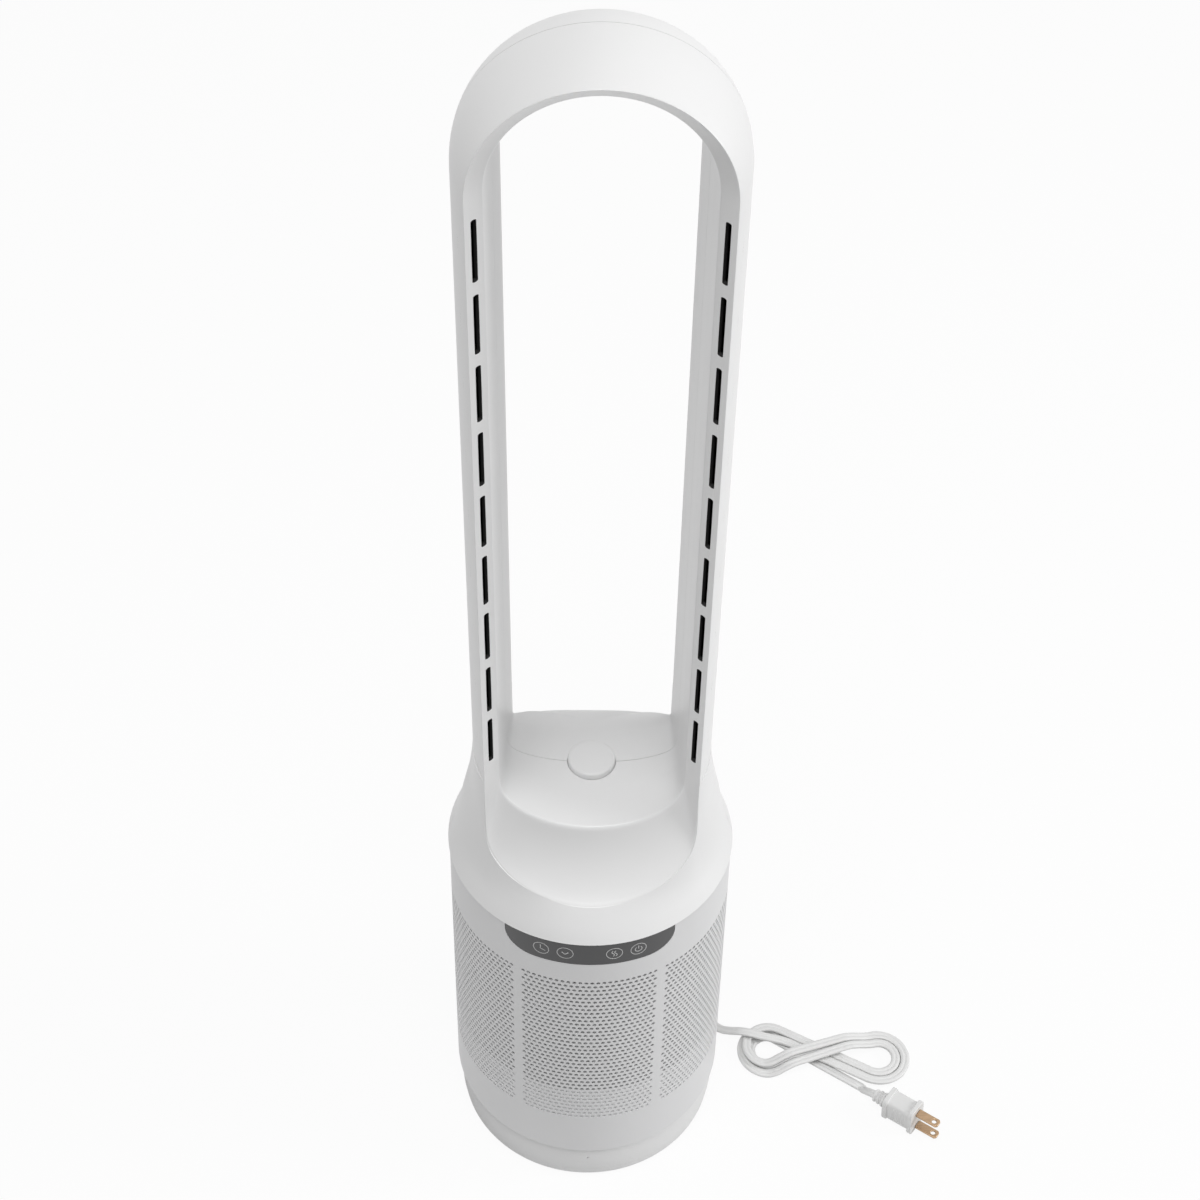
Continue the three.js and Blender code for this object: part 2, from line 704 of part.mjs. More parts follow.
function seamCap() {
  const low = floorZ - 1.1 + gap;
  const brow = [[0, 1.7], [0.3, 0.8], [1.2, 0.25], [6, 0.05]]; // in from the side, down from the top
  const dome = brow.map(([inward, down]) => [capRadius - inward, capTopZ - down]);
  return lathe([[0, 306], [5, 306], [5, low], [capRadius, low], ...dome, [0, capTopZ]], 24).translate([0, seamY, 0]);
}

function shellScrew(angle) {
  const [x, y] = polar(shellScrewCircle, angle);
  const headTop = neckPlateZ - gap - 6 - gap;
  return join(disc(3.6, headTop - 2.4, headTop, x, y, 12), disc(1.5, headTop - 1, 261, x, y, 8));
}

function neckPlate() {
  let plate = ring(chassisRadius, ductRadius + 1, neckPlateZ, neckPlateZ + neckPlateThick);
  for (const angle of shellScrewAngles) {
    const [x, y] = polar(shellScrewCircle, angle);
    plate = cut(plate, disc(2, 240, 260, x, y, 12));
  }
  return plate;
}

function tower() {
  place('turntable', turntable(), materials.inner);
  place('oscillation_motor', oscillationMotor(), materials.steel);
  place('pinion', pinion(), materials.inner);
  place('sector_gear', sectorGear(), materials.inner);
  place('chassis', chassis(), materials.inner);
  place('grille_sleeve', grilleSleeve(), materials.sleeve);
  place('control_panel', controlPanel(), materials.panel);
  place('touch_board', touchBoard(), materials.board);
  for (const board of boards) {
    const plate = box(board.width, board.depth, 1.6, board.x, board.y, boardZ + 0.8);
    place(board.name, plate, materials.board);
  }
  place('capacitor', disc(8, boardZ + 1.6 + gap, boardZ + 26, -50, 12, 20), materials.dark);
  place('terminal_block', box(22, 9, 10, 18, -40, boardZ + 1.6 + gap + 5), materials.inner);
  place('blower_housing', blowerHousing(), materials.inner);
  place('diffuser', diffuser(), materials.inner);
  place('motor', motor(), materials.steel);
  place('motor_mount', ring(cupRadius - 2.3 - gap, motorRadius + gap, 196, 216, 36), materials.rubber);
  place('impeller', impeller(), materials.inner);
  place('impeller_shaft', impellerShaft(), materials.steel);
  place('neck_plate', neckPlate(), materials.inner);
  place('duct_gasket', ring(ductRadius + 8.5, ductRadius + 1, neckPlateZ + neckPlateThick + gap, rimZ - 0.5), materials.foam);
  const [front, rear] = loopShells();
  place('front_shell', front, materials.white);
  place('rear_shell', rear, materials.white);
  place('seam_cap', seamCap(), materials.white);
  shellScrewAngles.forEach((angle, i) => place(`shell_screw_${i + 1}`, shellScrew(angle), materials.steel));
}

// ---------------------------------------------------------------- cord, hank and plug
const floorStrandZ = cordRest + cordHeight / 2;

const smooth = share => {
  const held = Math.min(1, Math.max(0, share));
  return held * held * (3 - 2 * held);
};

function cordGland() {
  const face = footRadius + 2;
  const end = face + glandLength;
  const profile = [
    [0, footRadius - 8], [5.7, footRadius - 8], [5.7, footRadius - 4.6], [glandRadius, footRadius - 4.6],
    [glandRadius, face], [6.2, face], [6.2, face + 1.8], [4.9, face + 2.4],
  ];
  for (let k = 0; k < 3; k++) {
    const y = face + 4 + 3 * k;
    profile.push([4.7 - 0.2 * k, y], [4 - 0.2 * k, y + 0.2], [4 - 0.2 * k, y + 1.2], [4.6 - 0.2 * k, y + 1.4]);
  }
  profile.push([3.9, end], [0, end]);
  return lathe(profile, 12).rotate([-90, 0, 0]).translate([0, 0, glandZ]);
}

// A free stretch of the cord: the flat section swept along points chosen by eye.
function cordStretch(points, steps) {
  const [w, h] = [cordWidth / 2, cordHeight / 2];
  const section = new THREE.Shape();
  // the sweep turns the section's X upright
  const outline = [[h, w * 0.55], [h * 0.6, w * 0.92], [-h * 0.6, w * 0.92], [-h, w * 0.55]];
  const mirrored = outline.map(([x, y]) => [-x, -y]);
  [...outline, ...mirrored].forEach(([x, y], i) => (i ? section.lineTo(x, y) : section.moveTo(x, y)));
  const path = new THREE.CatmullRomCurve3(points.map(p => new THREE.Vector3(...p)));
  return solid(new THREE.ExtrudeGeometry(section, { steps, bevelEnabled: false, extrudePath: path }));
}

// The hank is a figure eight wound three times. Each run is a straight line between the two middles:
// B runs go from the left loop's top to the right loop's bottom, A runs come back over them.
// Radii are measured from the right middle; the same run passes the left middle at spread - radius.
const hankTurns = 3;
const spread = innerRight + innerLeft;
const half = strandPitch / 2;
const right = { // radius at the start and the end of each turn round the right middle, and its layer
  from: [innerRight + strandPitch, innerRight, innerRight],
  to: [innerRight + half, innerRight - half, innerRight + half],
  layer: [1, 1, 0],
};
const left = {
  from: [innerLeft - half, innerLeft + half, innerLeft - half],
  to: [innerLeft, innerLeft, innerLeft - strandPitch],
  layer: [1, 0, 0],
};

function hankPath(arcSteps, runSteps) {
  const across = [hankRight[0] - hankLeft[0], hankRight[1] - hankLeft[1]];
  const apart = Math.hypot(...across);
  const axis = Math.atan2(across[1], across[0]);
  const lean = Math.asin(spread / apart);
  const run = Math.sqrt(apart * apart - spread * spread);
  const sweep = Math.PI + 2 * lean;
  const at = (middle, radius, angle) => [middle[0] + radius * Math.cos(angle), middle[1] + radius * Math.sin(angle)];
  const rightStart = axis - lean - Math.PI / 2;
  const leftStart = axis + lean + 1.5 * Math.PI;
  const leftEnd = leftStart - sweep;
  // an A run lifts over the B runs, two layers high, and settles again beyond them
  const lift = t => 2 * layerStep * smooth((t + 3) / 24) * smooth((run + 10 - t) / 24);
  const points = [];
  const add = ([x, y], layer, rise) => points.push([x, y, floorStrandZ + layer * layerStep + rise]);
  const line = (p, q, share) => [p[0] + (q[0] - p[0]) * share, p[1] + (q[1] - p[1]) * share];
  const leadIn = at(hankLeft, innerLeft - strandPitch, leftEnd);
  for (let k = 0; k <= hankTurns; k++) {
    const last = k === hankTurns;
    const from = k === 0 ? leadIn : at(hankLeft, left.to[k - 1], leftEnd);
    const to = last ? at(hankRight, innerRight + 2 * strandPitch, rightStart) : at(hankRight, right.from[k], rightStart);
    const layer = last ? 0 : right.layer[k];
    const [first, end] = [k === 0 ? 0.24 : 0, last ? 0.92 : 1];
    for (let i = 0; i < runSteps; i++) {
      add(line(from, to, first + (end - first) * i / runSteps), layer, 0);
    }
    if (last) {
      add(line(from, to, end), layer, 0);
      break;
    }
    for (let i = 0; i < arcSteps; i++) {
      const share = i / arcSteps;
      const radius = right.from[k] + (right.to[k] - right.from[k]) * share;
      add(at(hankRight, radius, rightStart + sweep * share), right.layer[k], lift(-(1 - share) * sweep * radius));
    }
    const runStart = at(hankRight, right.to[k], rightStart + sweep);
    const runEnd = at(hankLeft, left.from[k], leftStart);
    for (let i = 0; i < runSteps; i++) {
      const share = i / runSteps;
      const drop = right.layer[k] + (left.layer[k] - right.layer[k]) * smooth(share);
      add(line(runStart, runEnd, share), drop, lift(run * share));
    }
    for (let i = 0; i < arcSteps; i++) {
      const share = i / arcSteps;
      const radius = left.from[k] + (left.to[k] - left.from[k]) * share;
      add(at(hankLeft, radius, leftStart - sweep * share), left.layer[k], lift(run + share * sweep * radius));
    }
  }
  return points;
}

function flatRings(points, outline) {
  return points.map((point, i) => {
    const before = points[Math.max(0, i - 1)];
    const after = points[Math.min(points.length - 1, i + 1)];
    const along = new THREE.Vector3(after[0] - before[0], after[1] - before[1], after[2] - before[2]).normalize();
    const aside = new THREE.Vector3(-along.y, along.x, 0).normalize();
    const up = new THREE.Vector3().crossVectors(along, aside);
    return outline.map(([u, v]) => {
      const spot = new THREE.Vector3(...point).addScaledVector(aside, u).addScaledVector(up, v);
      return spot.toArray();
    });
  });
}

const hankOutline = [[1, 0], [0.62, 1], [-0.62, 1], [-1, 0], [-0.62, -1], [0.62, -1]]
  .map(([u, v]) => [u * cordWidth / 2, v * cordHeight / 2]);

// Least distance between outlines of the hank that are more than a loop's width apart along it.
function leastGap(points) {
  const outline = [];
  hankOutline.forEach(([u, v], i) => {
    const [nextU, nextV] = hankOutline[(i + 1) % 6];
    [0, 0.25, 0.5, 0.75].forEach(s => outline.push([u + (nextU - u) * s, v + (nextV - v) * s]));
  });
  const cell = 3;
  const grid = new Map();
  const spots = flatRings(points, outline).flatMap((ring, i) => ring.map(spot => ({ i, spot })));
  const key = (x, y, z) => `${x},${y},${z}`;
  for (const item of spots) {
    const name = key(...item.spot.map(v => Math.floor(v / cell)));
    grid.set(name, [...(grid.get(name) ?? []), item]);
  }
  let least = Infinity;
  for (const { i, spot } of spots) {
    const [x, y, z] = spot.map(v => Math.floor(v / cell));
    for (let n = 0; n < 27; n++) {
      const near = grid.get(key(x + n % 3 - 1, y + Math.floor(n / 3) % 3 - 1, z + Math.floor(n / 9) - 1)) ?? [];
      for (const other of near) {
        if (other.i > i + 16) {
          least = Math.min(least, Math.hypot(...spot.map((v, a) => v - other.spot[a])));
        }
      }
    }
  }
  return least;
}

// Plug pieces are drawn along +X from the cord's end and then turned to where the plug lies.
function layPlug(shape) {
  return shape.rotate([0, -plugPitch, 0]).rotate([0, 0, plugHeading]).translate(plugStart);
}

function plugSlab(halfWidth, halfHeight, corner, x0, x1) {
  const shape = new THREE.Shape();
  const [w, h, c] = [halfWidth, halfHeight, corner];
  const outline = [[w - c, -h], [w, c - h], [w, h - c], [w - c, h], [c - w, h], [-w, h - c], [-w, c - h], [c - w, -h]];
  outline.forEach(([x, y], i) => (i ? shape.lineTo(x, y) : shape.moveTo(x, y)));
  return prismAlongY(shape, 0, x1 - x0).rotate([0, 0, -90]).translate([x0, 0, 0]);
}

const plugLength = 32.5;

function plugBody() {
  const relief = lathe([
    [0, 0], [4.3, 0], [4.5, 1.6], [3.7, 1.9], [3.7, 2.7], [4.8, 3], [4.8, 4.6], [3.9, 4.9], [3.9, 5.7],
    [5, 6], [5.2, 7.6], [4.2, 8], [4.2, 11], [0, 11],
  ], 12).rotate([0, 90, 0]);
  const body = join(
    relief,
    plugSlab(7.9, 9.6, 3, 9.6, 13),
    plugSlab(6.9, 8.6, 2.2, 12, plugLength - 2),
    plugSlab(8.4, 11, 4, plugLength - 3.2, plugLength),
  );
  return layPlug(body);
}

function plugBlade(side) {
  const z = side * bladeSpacing / 2;
  const blade = box(16, 6.3, 1.5, plugLength + gap + 8, 0, z);
  return layPlug(cut(blade, disc(1.6, z - 2, z + 2, plugLength + 12.6, 0, 12)));
}

function cordParts() {
  const dense = leastGap(hankPath(40, 24));
  console.log(`least gap between strands of the hank: ${dense.toFixed(2)} mm`);
  const path = hankPath(12, 6);
  const rings = flatRings(path, hankOutline);
  const [start, end] = [path[0], path[path.length - 1]];
  const beyond = (p, q, distance) => {
    const step = new THREE.Vector3(...p).sub(new THREE.Vector3(...q)).normalize();
    return new THREE.Vector3(...p).addScaledVector(step, distance).toArray();
  };
  const glandEnd = footRadius + 2 + glandLength;
  const lead = [
    [0, glandEnd + gap, glandZ], [0.3, glandEnd + 5, glandZ], [0.7, glandEnd + 11, 9],
    [1.3, glandEnd + 17, 4.6], [4, glandEnd + 23, 2.5], [12, 125.5, 2.1], [24, 122.5, 2.1], [38, 111.5, 2.1],
    [51, 97.5, 2.1], [62, 83, 2.1], [72, 67.5, 2.1], [81, 49.5, 2.2], [87.5, 35.5, 2.8],
    [93.5, 29, 4.6], [100, 26, 7.1], [106, 24.2, 9.3], [113, 22.8, 9.6], [120.2, 21.4, 8.4], [129, 20.4, 6.6],
    [136, 19.2, 5.6], beyond(start, path[1], 4), beyond(start, path[1], gap),
  ];
  const tail = [
    beyond(end, path[path.length - 2], gap), beyond(end, path[path.length - 2], 4.5),
    [188.9, -18.6, 3.6], [190.8, -21.6, 6.4], [193, -24.3, 8.7], [plugStart[0] - gap * 0.8, plugStart[1] + gap * 0.6, plugStart[2]],
  ];
  place('cord_gland', cordGland(), materials.rubber);
  place('cord_lead', cordStretch(lead, 36), materials.cord);
  place('cord_hank', loft(rings, start, end), materials.cord);
  place('cord_tail', cordStretch(tail, 8), materials.cord);
  place('plug_body', plugBody(), materials.white);
  place('plug_blade_1', plugBlade(1), materials.brass);
  place('plug_blade_2', plugBlade(-1), materials.brass);
}

foot();
tower();
cordParts();

export default fan;
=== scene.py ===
import math
import bmesh
import bpy
from mathutils import Matrix, Vector


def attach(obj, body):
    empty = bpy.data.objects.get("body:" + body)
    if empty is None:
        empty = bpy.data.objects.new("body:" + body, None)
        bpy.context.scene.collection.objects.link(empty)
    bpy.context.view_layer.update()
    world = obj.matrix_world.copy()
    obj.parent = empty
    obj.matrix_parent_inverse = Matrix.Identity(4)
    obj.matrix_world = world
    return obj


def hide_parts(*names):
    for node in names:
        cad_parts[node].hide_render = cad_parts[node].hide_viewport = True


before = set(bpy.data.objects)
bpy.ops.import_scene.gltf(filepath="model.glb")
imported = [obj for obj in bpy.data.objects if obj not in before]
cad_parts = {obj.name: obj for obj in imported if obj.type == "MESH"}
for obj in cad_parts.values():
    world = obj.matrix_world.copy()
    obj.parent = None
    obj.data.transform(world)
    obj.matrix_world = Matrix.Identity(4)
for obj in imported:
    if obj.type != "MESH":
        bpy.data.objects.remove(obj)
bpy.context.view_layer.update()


# Studio. The fan stands on a white floor in front of a white surround, lit softly from the upper right,
# and the camera looks down at it from in front, as in the catalogue picture.
scene = bpy.context.scene
scene.view_settings.view_transform = "Standard"


def show(mesh, name):
    piece = bpy.data.objects.new(name, mesh)
    scene.collection.objects.link(piece)
    return piece


def look_along(obj, forward, right):
    forward = Vector(forward).normalized()
    right = Vector(right).normalized()
    up = right.cross(forward)
    turn = Matrix((right, up, -forward)).transposed()
    obj.matrix_world = Matrix.Translation(obj.location) @ turn.to_4x4()


camera = bpy.data.objects.new("studio_camera", bpy.data.cameras.new("studio_camera"))
scene.collection.objects.link(camera)
camera.data.sensor_width = 36
camera.data.lens = 63.48
camera.data.clip_end = 20
camera.location = (-0.0074, -0.8258, 1.241)
pitch, swing, lean = math.radians(43.9), math.radians(0.73), math.radians(1.08)
gaze = Vector((math.sin(swing) * math.cos(pitch), math.cos(swing) * math.cos(pitch), -math.sin(pitch)))
level = Vector((math.cos(swing), -math.sin(swing), 0))
look_along(camera, gaze, level * math.cos(lean) + level.cross(gaze) * math.sin(lean))
scene.camera = camera


def soft_lamp(name, place, target, size, watts):
    lamp = bpy.data.lights.new(name, "AREA")
    lamp.shape = "DISK"
    lamp.size = size
    lamp.energy = watts
    obj = bpy.data.objects.new(name, lamp)
    scene.collection.objects.link(obj)
    obj.location = place
    forward = Vector(target) - Vector(place)
    look_along(obj, forward, forward.cross(Vector((0, 0, 1))))
    return obj


soft_lamp("key_lamp", (2.4, -0.2, 1.3), (0, 0, 0.35), 1.1, 27)
soft_lamp("top_lamp", (-0.1, -0.9, 3.8), (0, 0, 0.4), 1.6, 62)



def looked_at(tree, unseen, seen):
    """One value for light that falls on the fan, another for what is looked at, mirrored or seen through."""
    rays = tree.nodes.new("ShaderNodeLightPath")
    either = tree.nodes.new("ShaderNodeMath")
    either.operation = "MAXIMUM"
    tree.links.new(rays.outputs["Is Camera Ray"], either.inputs[0])
    tree.links.new(rays.outputs["Is Glossy Ray"], either.inputs[1])
    any_look = tree.nodes.new("ShaderNodeMath")
    any_look.operation = "MAXIMUM"
    tree.links.new(either.outputs[0], any_look.inputs[0])
    tree.links.new(rays.outputs["Is Transmission Ray"], any_look.inputs[1])
    value = tree.nodes.new("ShaderNodeMapRange")
    value.inputs["To Min"].default_value = unseen
    value.inputs["To Max"].default_value = seen
    tree.links.new(any_look.outputs[0], value.inputs["Value"])
    return value.outputs["Result"]


world = bpy.data.worlds.new("white_surround")
scene.world = world
world.use_nodes = True
surround = world.node_tree.nodes["Background"]
surround.inputs["Color"].default_value = (1, 1, 1, 1)
world.node_tree.links.new(looked_at(world.node_tree, 0.36, 1.0), surround.inputs["Strength"])

floor_mesh = bpy.data.meshes.new("studio_floor")
bm = bmesh.new()
bmesh.ops.create_grid(bm, x_segments=1, y_segments=1, size=8)
bm.to_mesh(floor_mesh)
bm.free()
studio_floor = show(floor_mesh, "studio_floor")
paper = bpy.data.materials.new("floor_paper")
paper.use_nodes = True
nodes, links = paper.node_tree.nodes, paper.node_tree.links
nodes["Principled BSDF"].inputs["Base Color"].default_value = (0.8, 0.8, 0.8, 1)
nodes["Principled BSDF"].inputs["Roughness"].default_value = 0.9
glow = nodes.new("ShaderNodeEmission")
glow.inputs["Color"].default_value = (1, 1, 1, 1)
blend = nodes.new("ShaderNodeMixShader")
links.new(looked_at(paper.node_tree, 0.0, 0.93), blend.inputs["Fac"])
links.new(nodes["Principled BSDF"].outputs[0], blend.inputs[1])
links.new(glow.outputs[0], blend.inputs[2])
links.new(blend.outputs[0], nodes["Material Output"].inputs["Surface"])
floor_mesh.materials.append(paper)


# Foot. A turned-looking moulding in white ABS: a shallow dish with a small step low on its wall, closed
# below by a floor with three screw wells, and pierced at the back where the cord comes out.
mm = 0.001


def moulded_plastic(name, colour, roughness, grain, bump):
    """Fine moulded grain, with broad patches that are a little duller and darker than the rest."""
    material = bpy.data.materials.new(name)
    material.use_nodes = True
    nodes, links = material.node_tree.nodes, material.node_tree.links
    shader = nodes["Principled BSDF"]
    where = nodes.new("ShaderNodeTexCoord")
    fine = nodes.new("ShaderNodeTexNoise")
    fine.inputs["Scale"].default_value = grain
    fine.inputs["Detail"].default_value = 4
    broad = nodes.new("ShaderNodeTexNoise")
    broad.inputs["Scale"].default_value = 9
    broad.inputs["Detail"].default_value = 3
    tone = nodes.new("ShaderNodeValToRGB")
    tone.color_ramp.elements[0].position = 0.3
    tone.color_ramp.elements[0].color = (*[c * 0.97 for c in colour], 1)
    tone.color_ramp.elements[1].position = 0.75
    tone.color_ramp.elements[1].color = (*colour, 1)
    dull = nodes.new("ShaderNodeMapRange")
    dull.inputs["To Min"].default_value = roughness - 0.04
    dull.inputs["To Max"].default_value = roughness + 0.06
    relief = nodes.new("ShaderNodeBump")
    relief.inputs["Strength"].default_value = bump
    relief.inputs["Distance"].default_value = 0.0002
    links.new(where.outputs["Object"], fine.inputs["Vector"])
    links.new(where.outputs["Object"], broad.inputs["Vector"])
    links.new(broad.outputs["Fac"], tone.inputs["Fac"])
    links.new(broad.outputs["Fac"], dull.inputs["Value"])
    links.new(fine.outputs["Fac"], relief.inputs["Height"])
    links.new(tone.outputs["Color"], shader.inputs["Base Color"])
    links.new(dull.outputs["Result"], shader.inputs["Roughness"])
    links.new(relief.outputs["Normal"], shader.inputs["Normal"])
    return material


def shaded(mesh, degrees=32):
    mesh.polygons.foreach_set("use_smooth", [True] * len(mesh.polygons))
    mesh.set_sharp_from_angle(angle=math.radians(degrees))
    return mesh


def turned(name, profile, segments=160):
    """A profile of (radius, height) in mm spun about Z; one that starts on the axis stays open there."""
    mesh = bpy.data.meshes.new(name)
    bm = bmesh.new()
    corners = [bm.verts.new((radius * mm, 0, height * mm)) for radius, height in profile]
    for start, end in zip(corners, corners[1:]):
        bm.edges.new((start, end))
    if profile[0][0] > 0:
        bm.edges.new((corners[-1], corners[0]))
    bmesh.ops.spin(bm, geom=bm.verts[:] + bm.edges[:], cent=(0, 0, 0), axis=(0, 0, 1), angle=2 * math.pi,
                   steps=segments, use_merge=True)
    bmesh.ops.remove_doubles(bm, verts=bm.verts[:], dist=1e-6)
    bmesh.ops.recalc_face_normals(bm, faces=bm.faces[:])
    bm.to_mesh(mesh)
    bm.free()
    return show(shaded(mesh), name)


def carved(piece, steps):
    """Applies booleans one after another; faces cut by a tool take the tool's material."""
    for tool, operation in steps:
        change = piece.modifiers.new("cut", "BOOLEAN")
        change.object = tool
        change.operation = operation
        change.solver = "EXACT"
        change.material_mode = "TRANSFER"
    bpy.context.view_layer.update()
    finished = bpy.data.meshes.new_from_object(piece.evaluated_get(bpy.context.evaluated_depsgraph_get()))
    piece.modifiers.clear()
    piece.data = shaded(finished)
    for tool, operation in steps:
        bpy.data.objects.remove(tool)
    return piece


def bored(piece, centres, radius, z0, z1, tilt=None):
    """Cuts round holes of one radius through a piece, upright unless tilted."""
    bm = bmesh.new()
    for x, y in centres:
        made = bmesh.ops.create_cone(bm, cap_ends=True, segments=32, radius1=radius * mm, radius2=radius * mm,
                                     depth=(z1 - z0) * mm)
        bmesh.ops.translate(bm, verts=made["verts"], vec=Vector((x, y, (z0 + z1) / 2)) * mm)
    if tilt is not None:
        bmesh.ops.transform(bm, matrix=tilt, verts=bm.verts[:])
    mesh = bpy.data.meshes.new("bore")
    bm.to_mesh(mesh)
    bm.free()
    return carved(piece, [(show(mesh, "bore"), "DIFFERENCE")])


def softened(piece, width, segments=2):
    """Rounds a piece's edges by width in mm."""
    edge = piece.modifiers.new("edges", "BEVEL")
    edge.width = width * mm
    edge.segments = segments
    edge.limit_method = "ANGLE"
    edge.angle_limit = math.radians(38)
    edge.harden_normals = False
    return piece


white_abs = moulded_plastic("white_abs", (0.8, 0.8, 0.8), 0.34, 2200, 0.05)
foot_abs = moulded_plastic("foot_abs", (0.74, 0.74, 0.745), 0.38, 2200, 0.06)
foot = turned("foot_dish", [
    (0, 2), (81, 2), (82.2, 2.15), (83, 2.6), (83.4, 3.4), (83.6, 9.4), (84.2, 9.9), (84.35, 10.6),
    (85.4, 33.8), (85.2, 34.5), (84.8, 34.8), (82.9, 34.8), (80.9, 6.5), (79.4, 5), (0, 5),
])
wells = [(73 * math.cos(math.radians(a)), 73 * math.sin(math.radians(a))) for a in (30, 150, 270)]
bored(foot, wells, 4.6, 0, 4.6)
to_back = Matrix.Translation((0, 0, 0.0115)) @ Matrix.Rotation(-math.pi / 2, 4, "X")
bored(foot, [(0, 0)], 5.1, 70, 100, to_back)
to_front = Matrix.Translation((0.001, 0, 0.024)) @ Matrix.Rotation(math.pi / 2, 4, "X")
bored(foot, [(0, 0)], 0.8, 84.2, 90, to_front)
foot.data.materials.append(foot_abs)
for face in foot.data.polygons:
    face.material_index = 0
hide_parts("base_pan")
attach(foot, "base")


# Works under and inside the sleeve. Steel ballast, screws and motors, dark rubber pads and mounts, circuit
# boards, and grey moulded carriers coloured much darker as painted shade inside the tower; they keep the
# model's own shapes and show only through gaps and holes.
def coated_steel(name, colour, roughness, brushed):
    """Bright metal with fine drawn lines along one direction and dulled patches."""
    material = bpy.data.materials.new(name)
    material.use_nodes = True
    nodes, links = material.node_tree.nodes, material.node_tree.links
    shader = nodes["Principled BSDF"]
    shader.inputs["Metallic"].default_value = 1
    where = nodes.new("ShaderNodeTexCoord")
    drawn = nodes.new("ShaderNodeMapping")
    drawn.inputs["Scale"].default_value = brushed
    lines = nodes.new("ShaderNodeTexNoise")
    lines.inputs["Scale"].default_value = 900
    dull = nodes.new("ShaderNodeMapRange")
    dull.inputs["To Min"].default_value = roughness - 0.08
    dull.inputs["To Max"].default_value = roughness + 0.12
    tone = nodes.new("ShaderNodeValToRGB")
    tone.color_ramp.elements[0].position = 0.25
    tone.color_ramp.elements[0].color = (*[c * 0.72 for c in colour], 1)
    tone.color_ramp.elements[1].position = 0.8
    tone.color_ramp.elements[1].color = (*colour, 1)
    relief = nodes.new("ShaderNodeBump")
    relief.inputs["Strength"].default_value = 0.12
    relief.inputs["Distance"].default_value = 0.0001
    links.new(where.outputs["Object"], drawn.inputs["Vector"])
    links.new(drawn.outputs["Vector"], lines.inputs["Vector"])
    links.new(lines.outputs["Fac"], dull.inputs["Value"])
    links.new(lines.outputs["Fac"], tone.inputs["Fac"])
    links.new(lines.outputs["Fac"], relief.inputs["Height"])
    links.new(dull.outputs["Result"], shader.inputs["Roughness"])
    links.new(tone.outputs["Color"], shader.inputs["Base Color"])
    links.new(relief.outputs["Normal"], shader.inputs["Normal"])
    return material


def circuit_laminate():
    """Green solder mask with copper tracks just showing beneath, on a grid."""
    material = moulded_plastic("circuit_laminate", (0.02, 0.13, 0.06), 0.3, 700, 0.1)
    nodes, links = material.node_tree.nodes, material.node_tree.links
    tracks = nodes.new("ShaderNodeTexBrick")
    tracks.inputs["Scale"].default_value = 160
    tracks.inputs["Mortar Size"].default_value = 0.03
    tracks.inputs["Color1"].default_value = (0.02, 0.13, 0.06, 1)
    tracks.inputs["Color2"].default_value = (0.018, 0.11, 0.05, 1)
    tracks.inputs["Mortar"].default_value = (0.06, 0.22, 0.1, 1)
    where = next(node for node in nodes if node.type == "TEX_COORD")
    links.new(where.outputs["Object"], tracks.inputs["Vector"])
    links.new(tracks.outputs["Color"], nodes["Principled BSDF"].inputs["Base Color"])
    return material


def finish_nodes(material, *names):
    for name in names:
        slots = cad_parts[name].material_slots
        for spot in slots:
            spot.material = material


plated = coated_steel("zinc_plate", (0.62, 0.63, 0.65), 0.32, (1, 1, 0.08))
rubber = moulded_plastic("black_rubber", (0.028, 0.028, 0.03), 0.72, 1300, 0.3)
# Painted shade: the grey carrier plastic is coloured far darker than its own grey, so that the parts seen
# through the holes and gaps read as shade.
dark_carrier_painted_shade = moulded_plastic("grey_carrier_painted_shade", (0.12, 0.12, 0.125), 0.5, 1600, 0.1)
dark_case = moulded_plastic("dark_case", (0.05, 0.05, 0.055), 0.42, 1600, 0.1)
gasket_foam = moulded_plastic("gasket_foam", (0.06, 0.06, 0.065), 0.92, 800, 0.8)
laminate = circuit_laminate()
finish_nodes(plated, "ballast_plate", "base_screw_1", "base_screw_2", "base_screw_3", "retaining_ring",
             "oscillation_motor", "motor", "impeller_shaft", "shell_screw_1", "shell_screw_2",
             "shell_screw_3", "shell_screw_4")
finish_nodes(rubber, "foot_pad_1", "foot_pad_2", "foot_pad_3", "foot_pad_4", "motor_mount")
finish_nodes(dark_carrier_painted_shade, "base_deck", "spindle", "thrust_ring", "turntable", "pinion", "sector_gear", "chassis",
             "blower_housing", "diffuser", "impeller", "neck_plate", "terminal_block")
finish_nodes(dark_case, "capacitor")
finish_nodes(gasket_foam, "duct_gasket")
finish_nodes(laminate, "main_board", "power_board", "touch_board")


# Sleeve. One tall moulded cylinder, a little wider below, with six panels of round holes in staggered rows.
# The lowest rows are only dimples. Two plain bands close it above and below, and the upper one has a notch
# for the touch window.
sleeve_low, sleeve_high = 35.6, 252.3
sleeve_wall = 1.8
hole_turn, row_rise = 2.374, 3.78
through_rows, dimple_rows = 30, 8
top_row = 215.0
hole_radius = 1.3
sleeve_abs = moulded_plastic("sleeve_abs", (0.72, 0.72, 0.725), 0.4, 2200, 0.06)


def sleeve_radius(height):
    return 86.8 - 1.6 * (height - sleeve_low) / (252.6 - sleeve_low)


def rolled(corner):
    """Carries (degrees round, depth in mm, height in mm) onto the sleeve."""
    radius = sleeve_radius(corner.z) - corner.y
    angle = math.radians(corner.x)
    return Vector((radius * math.cos(angle), radius * math.sin(angle), corner.z)) * mm


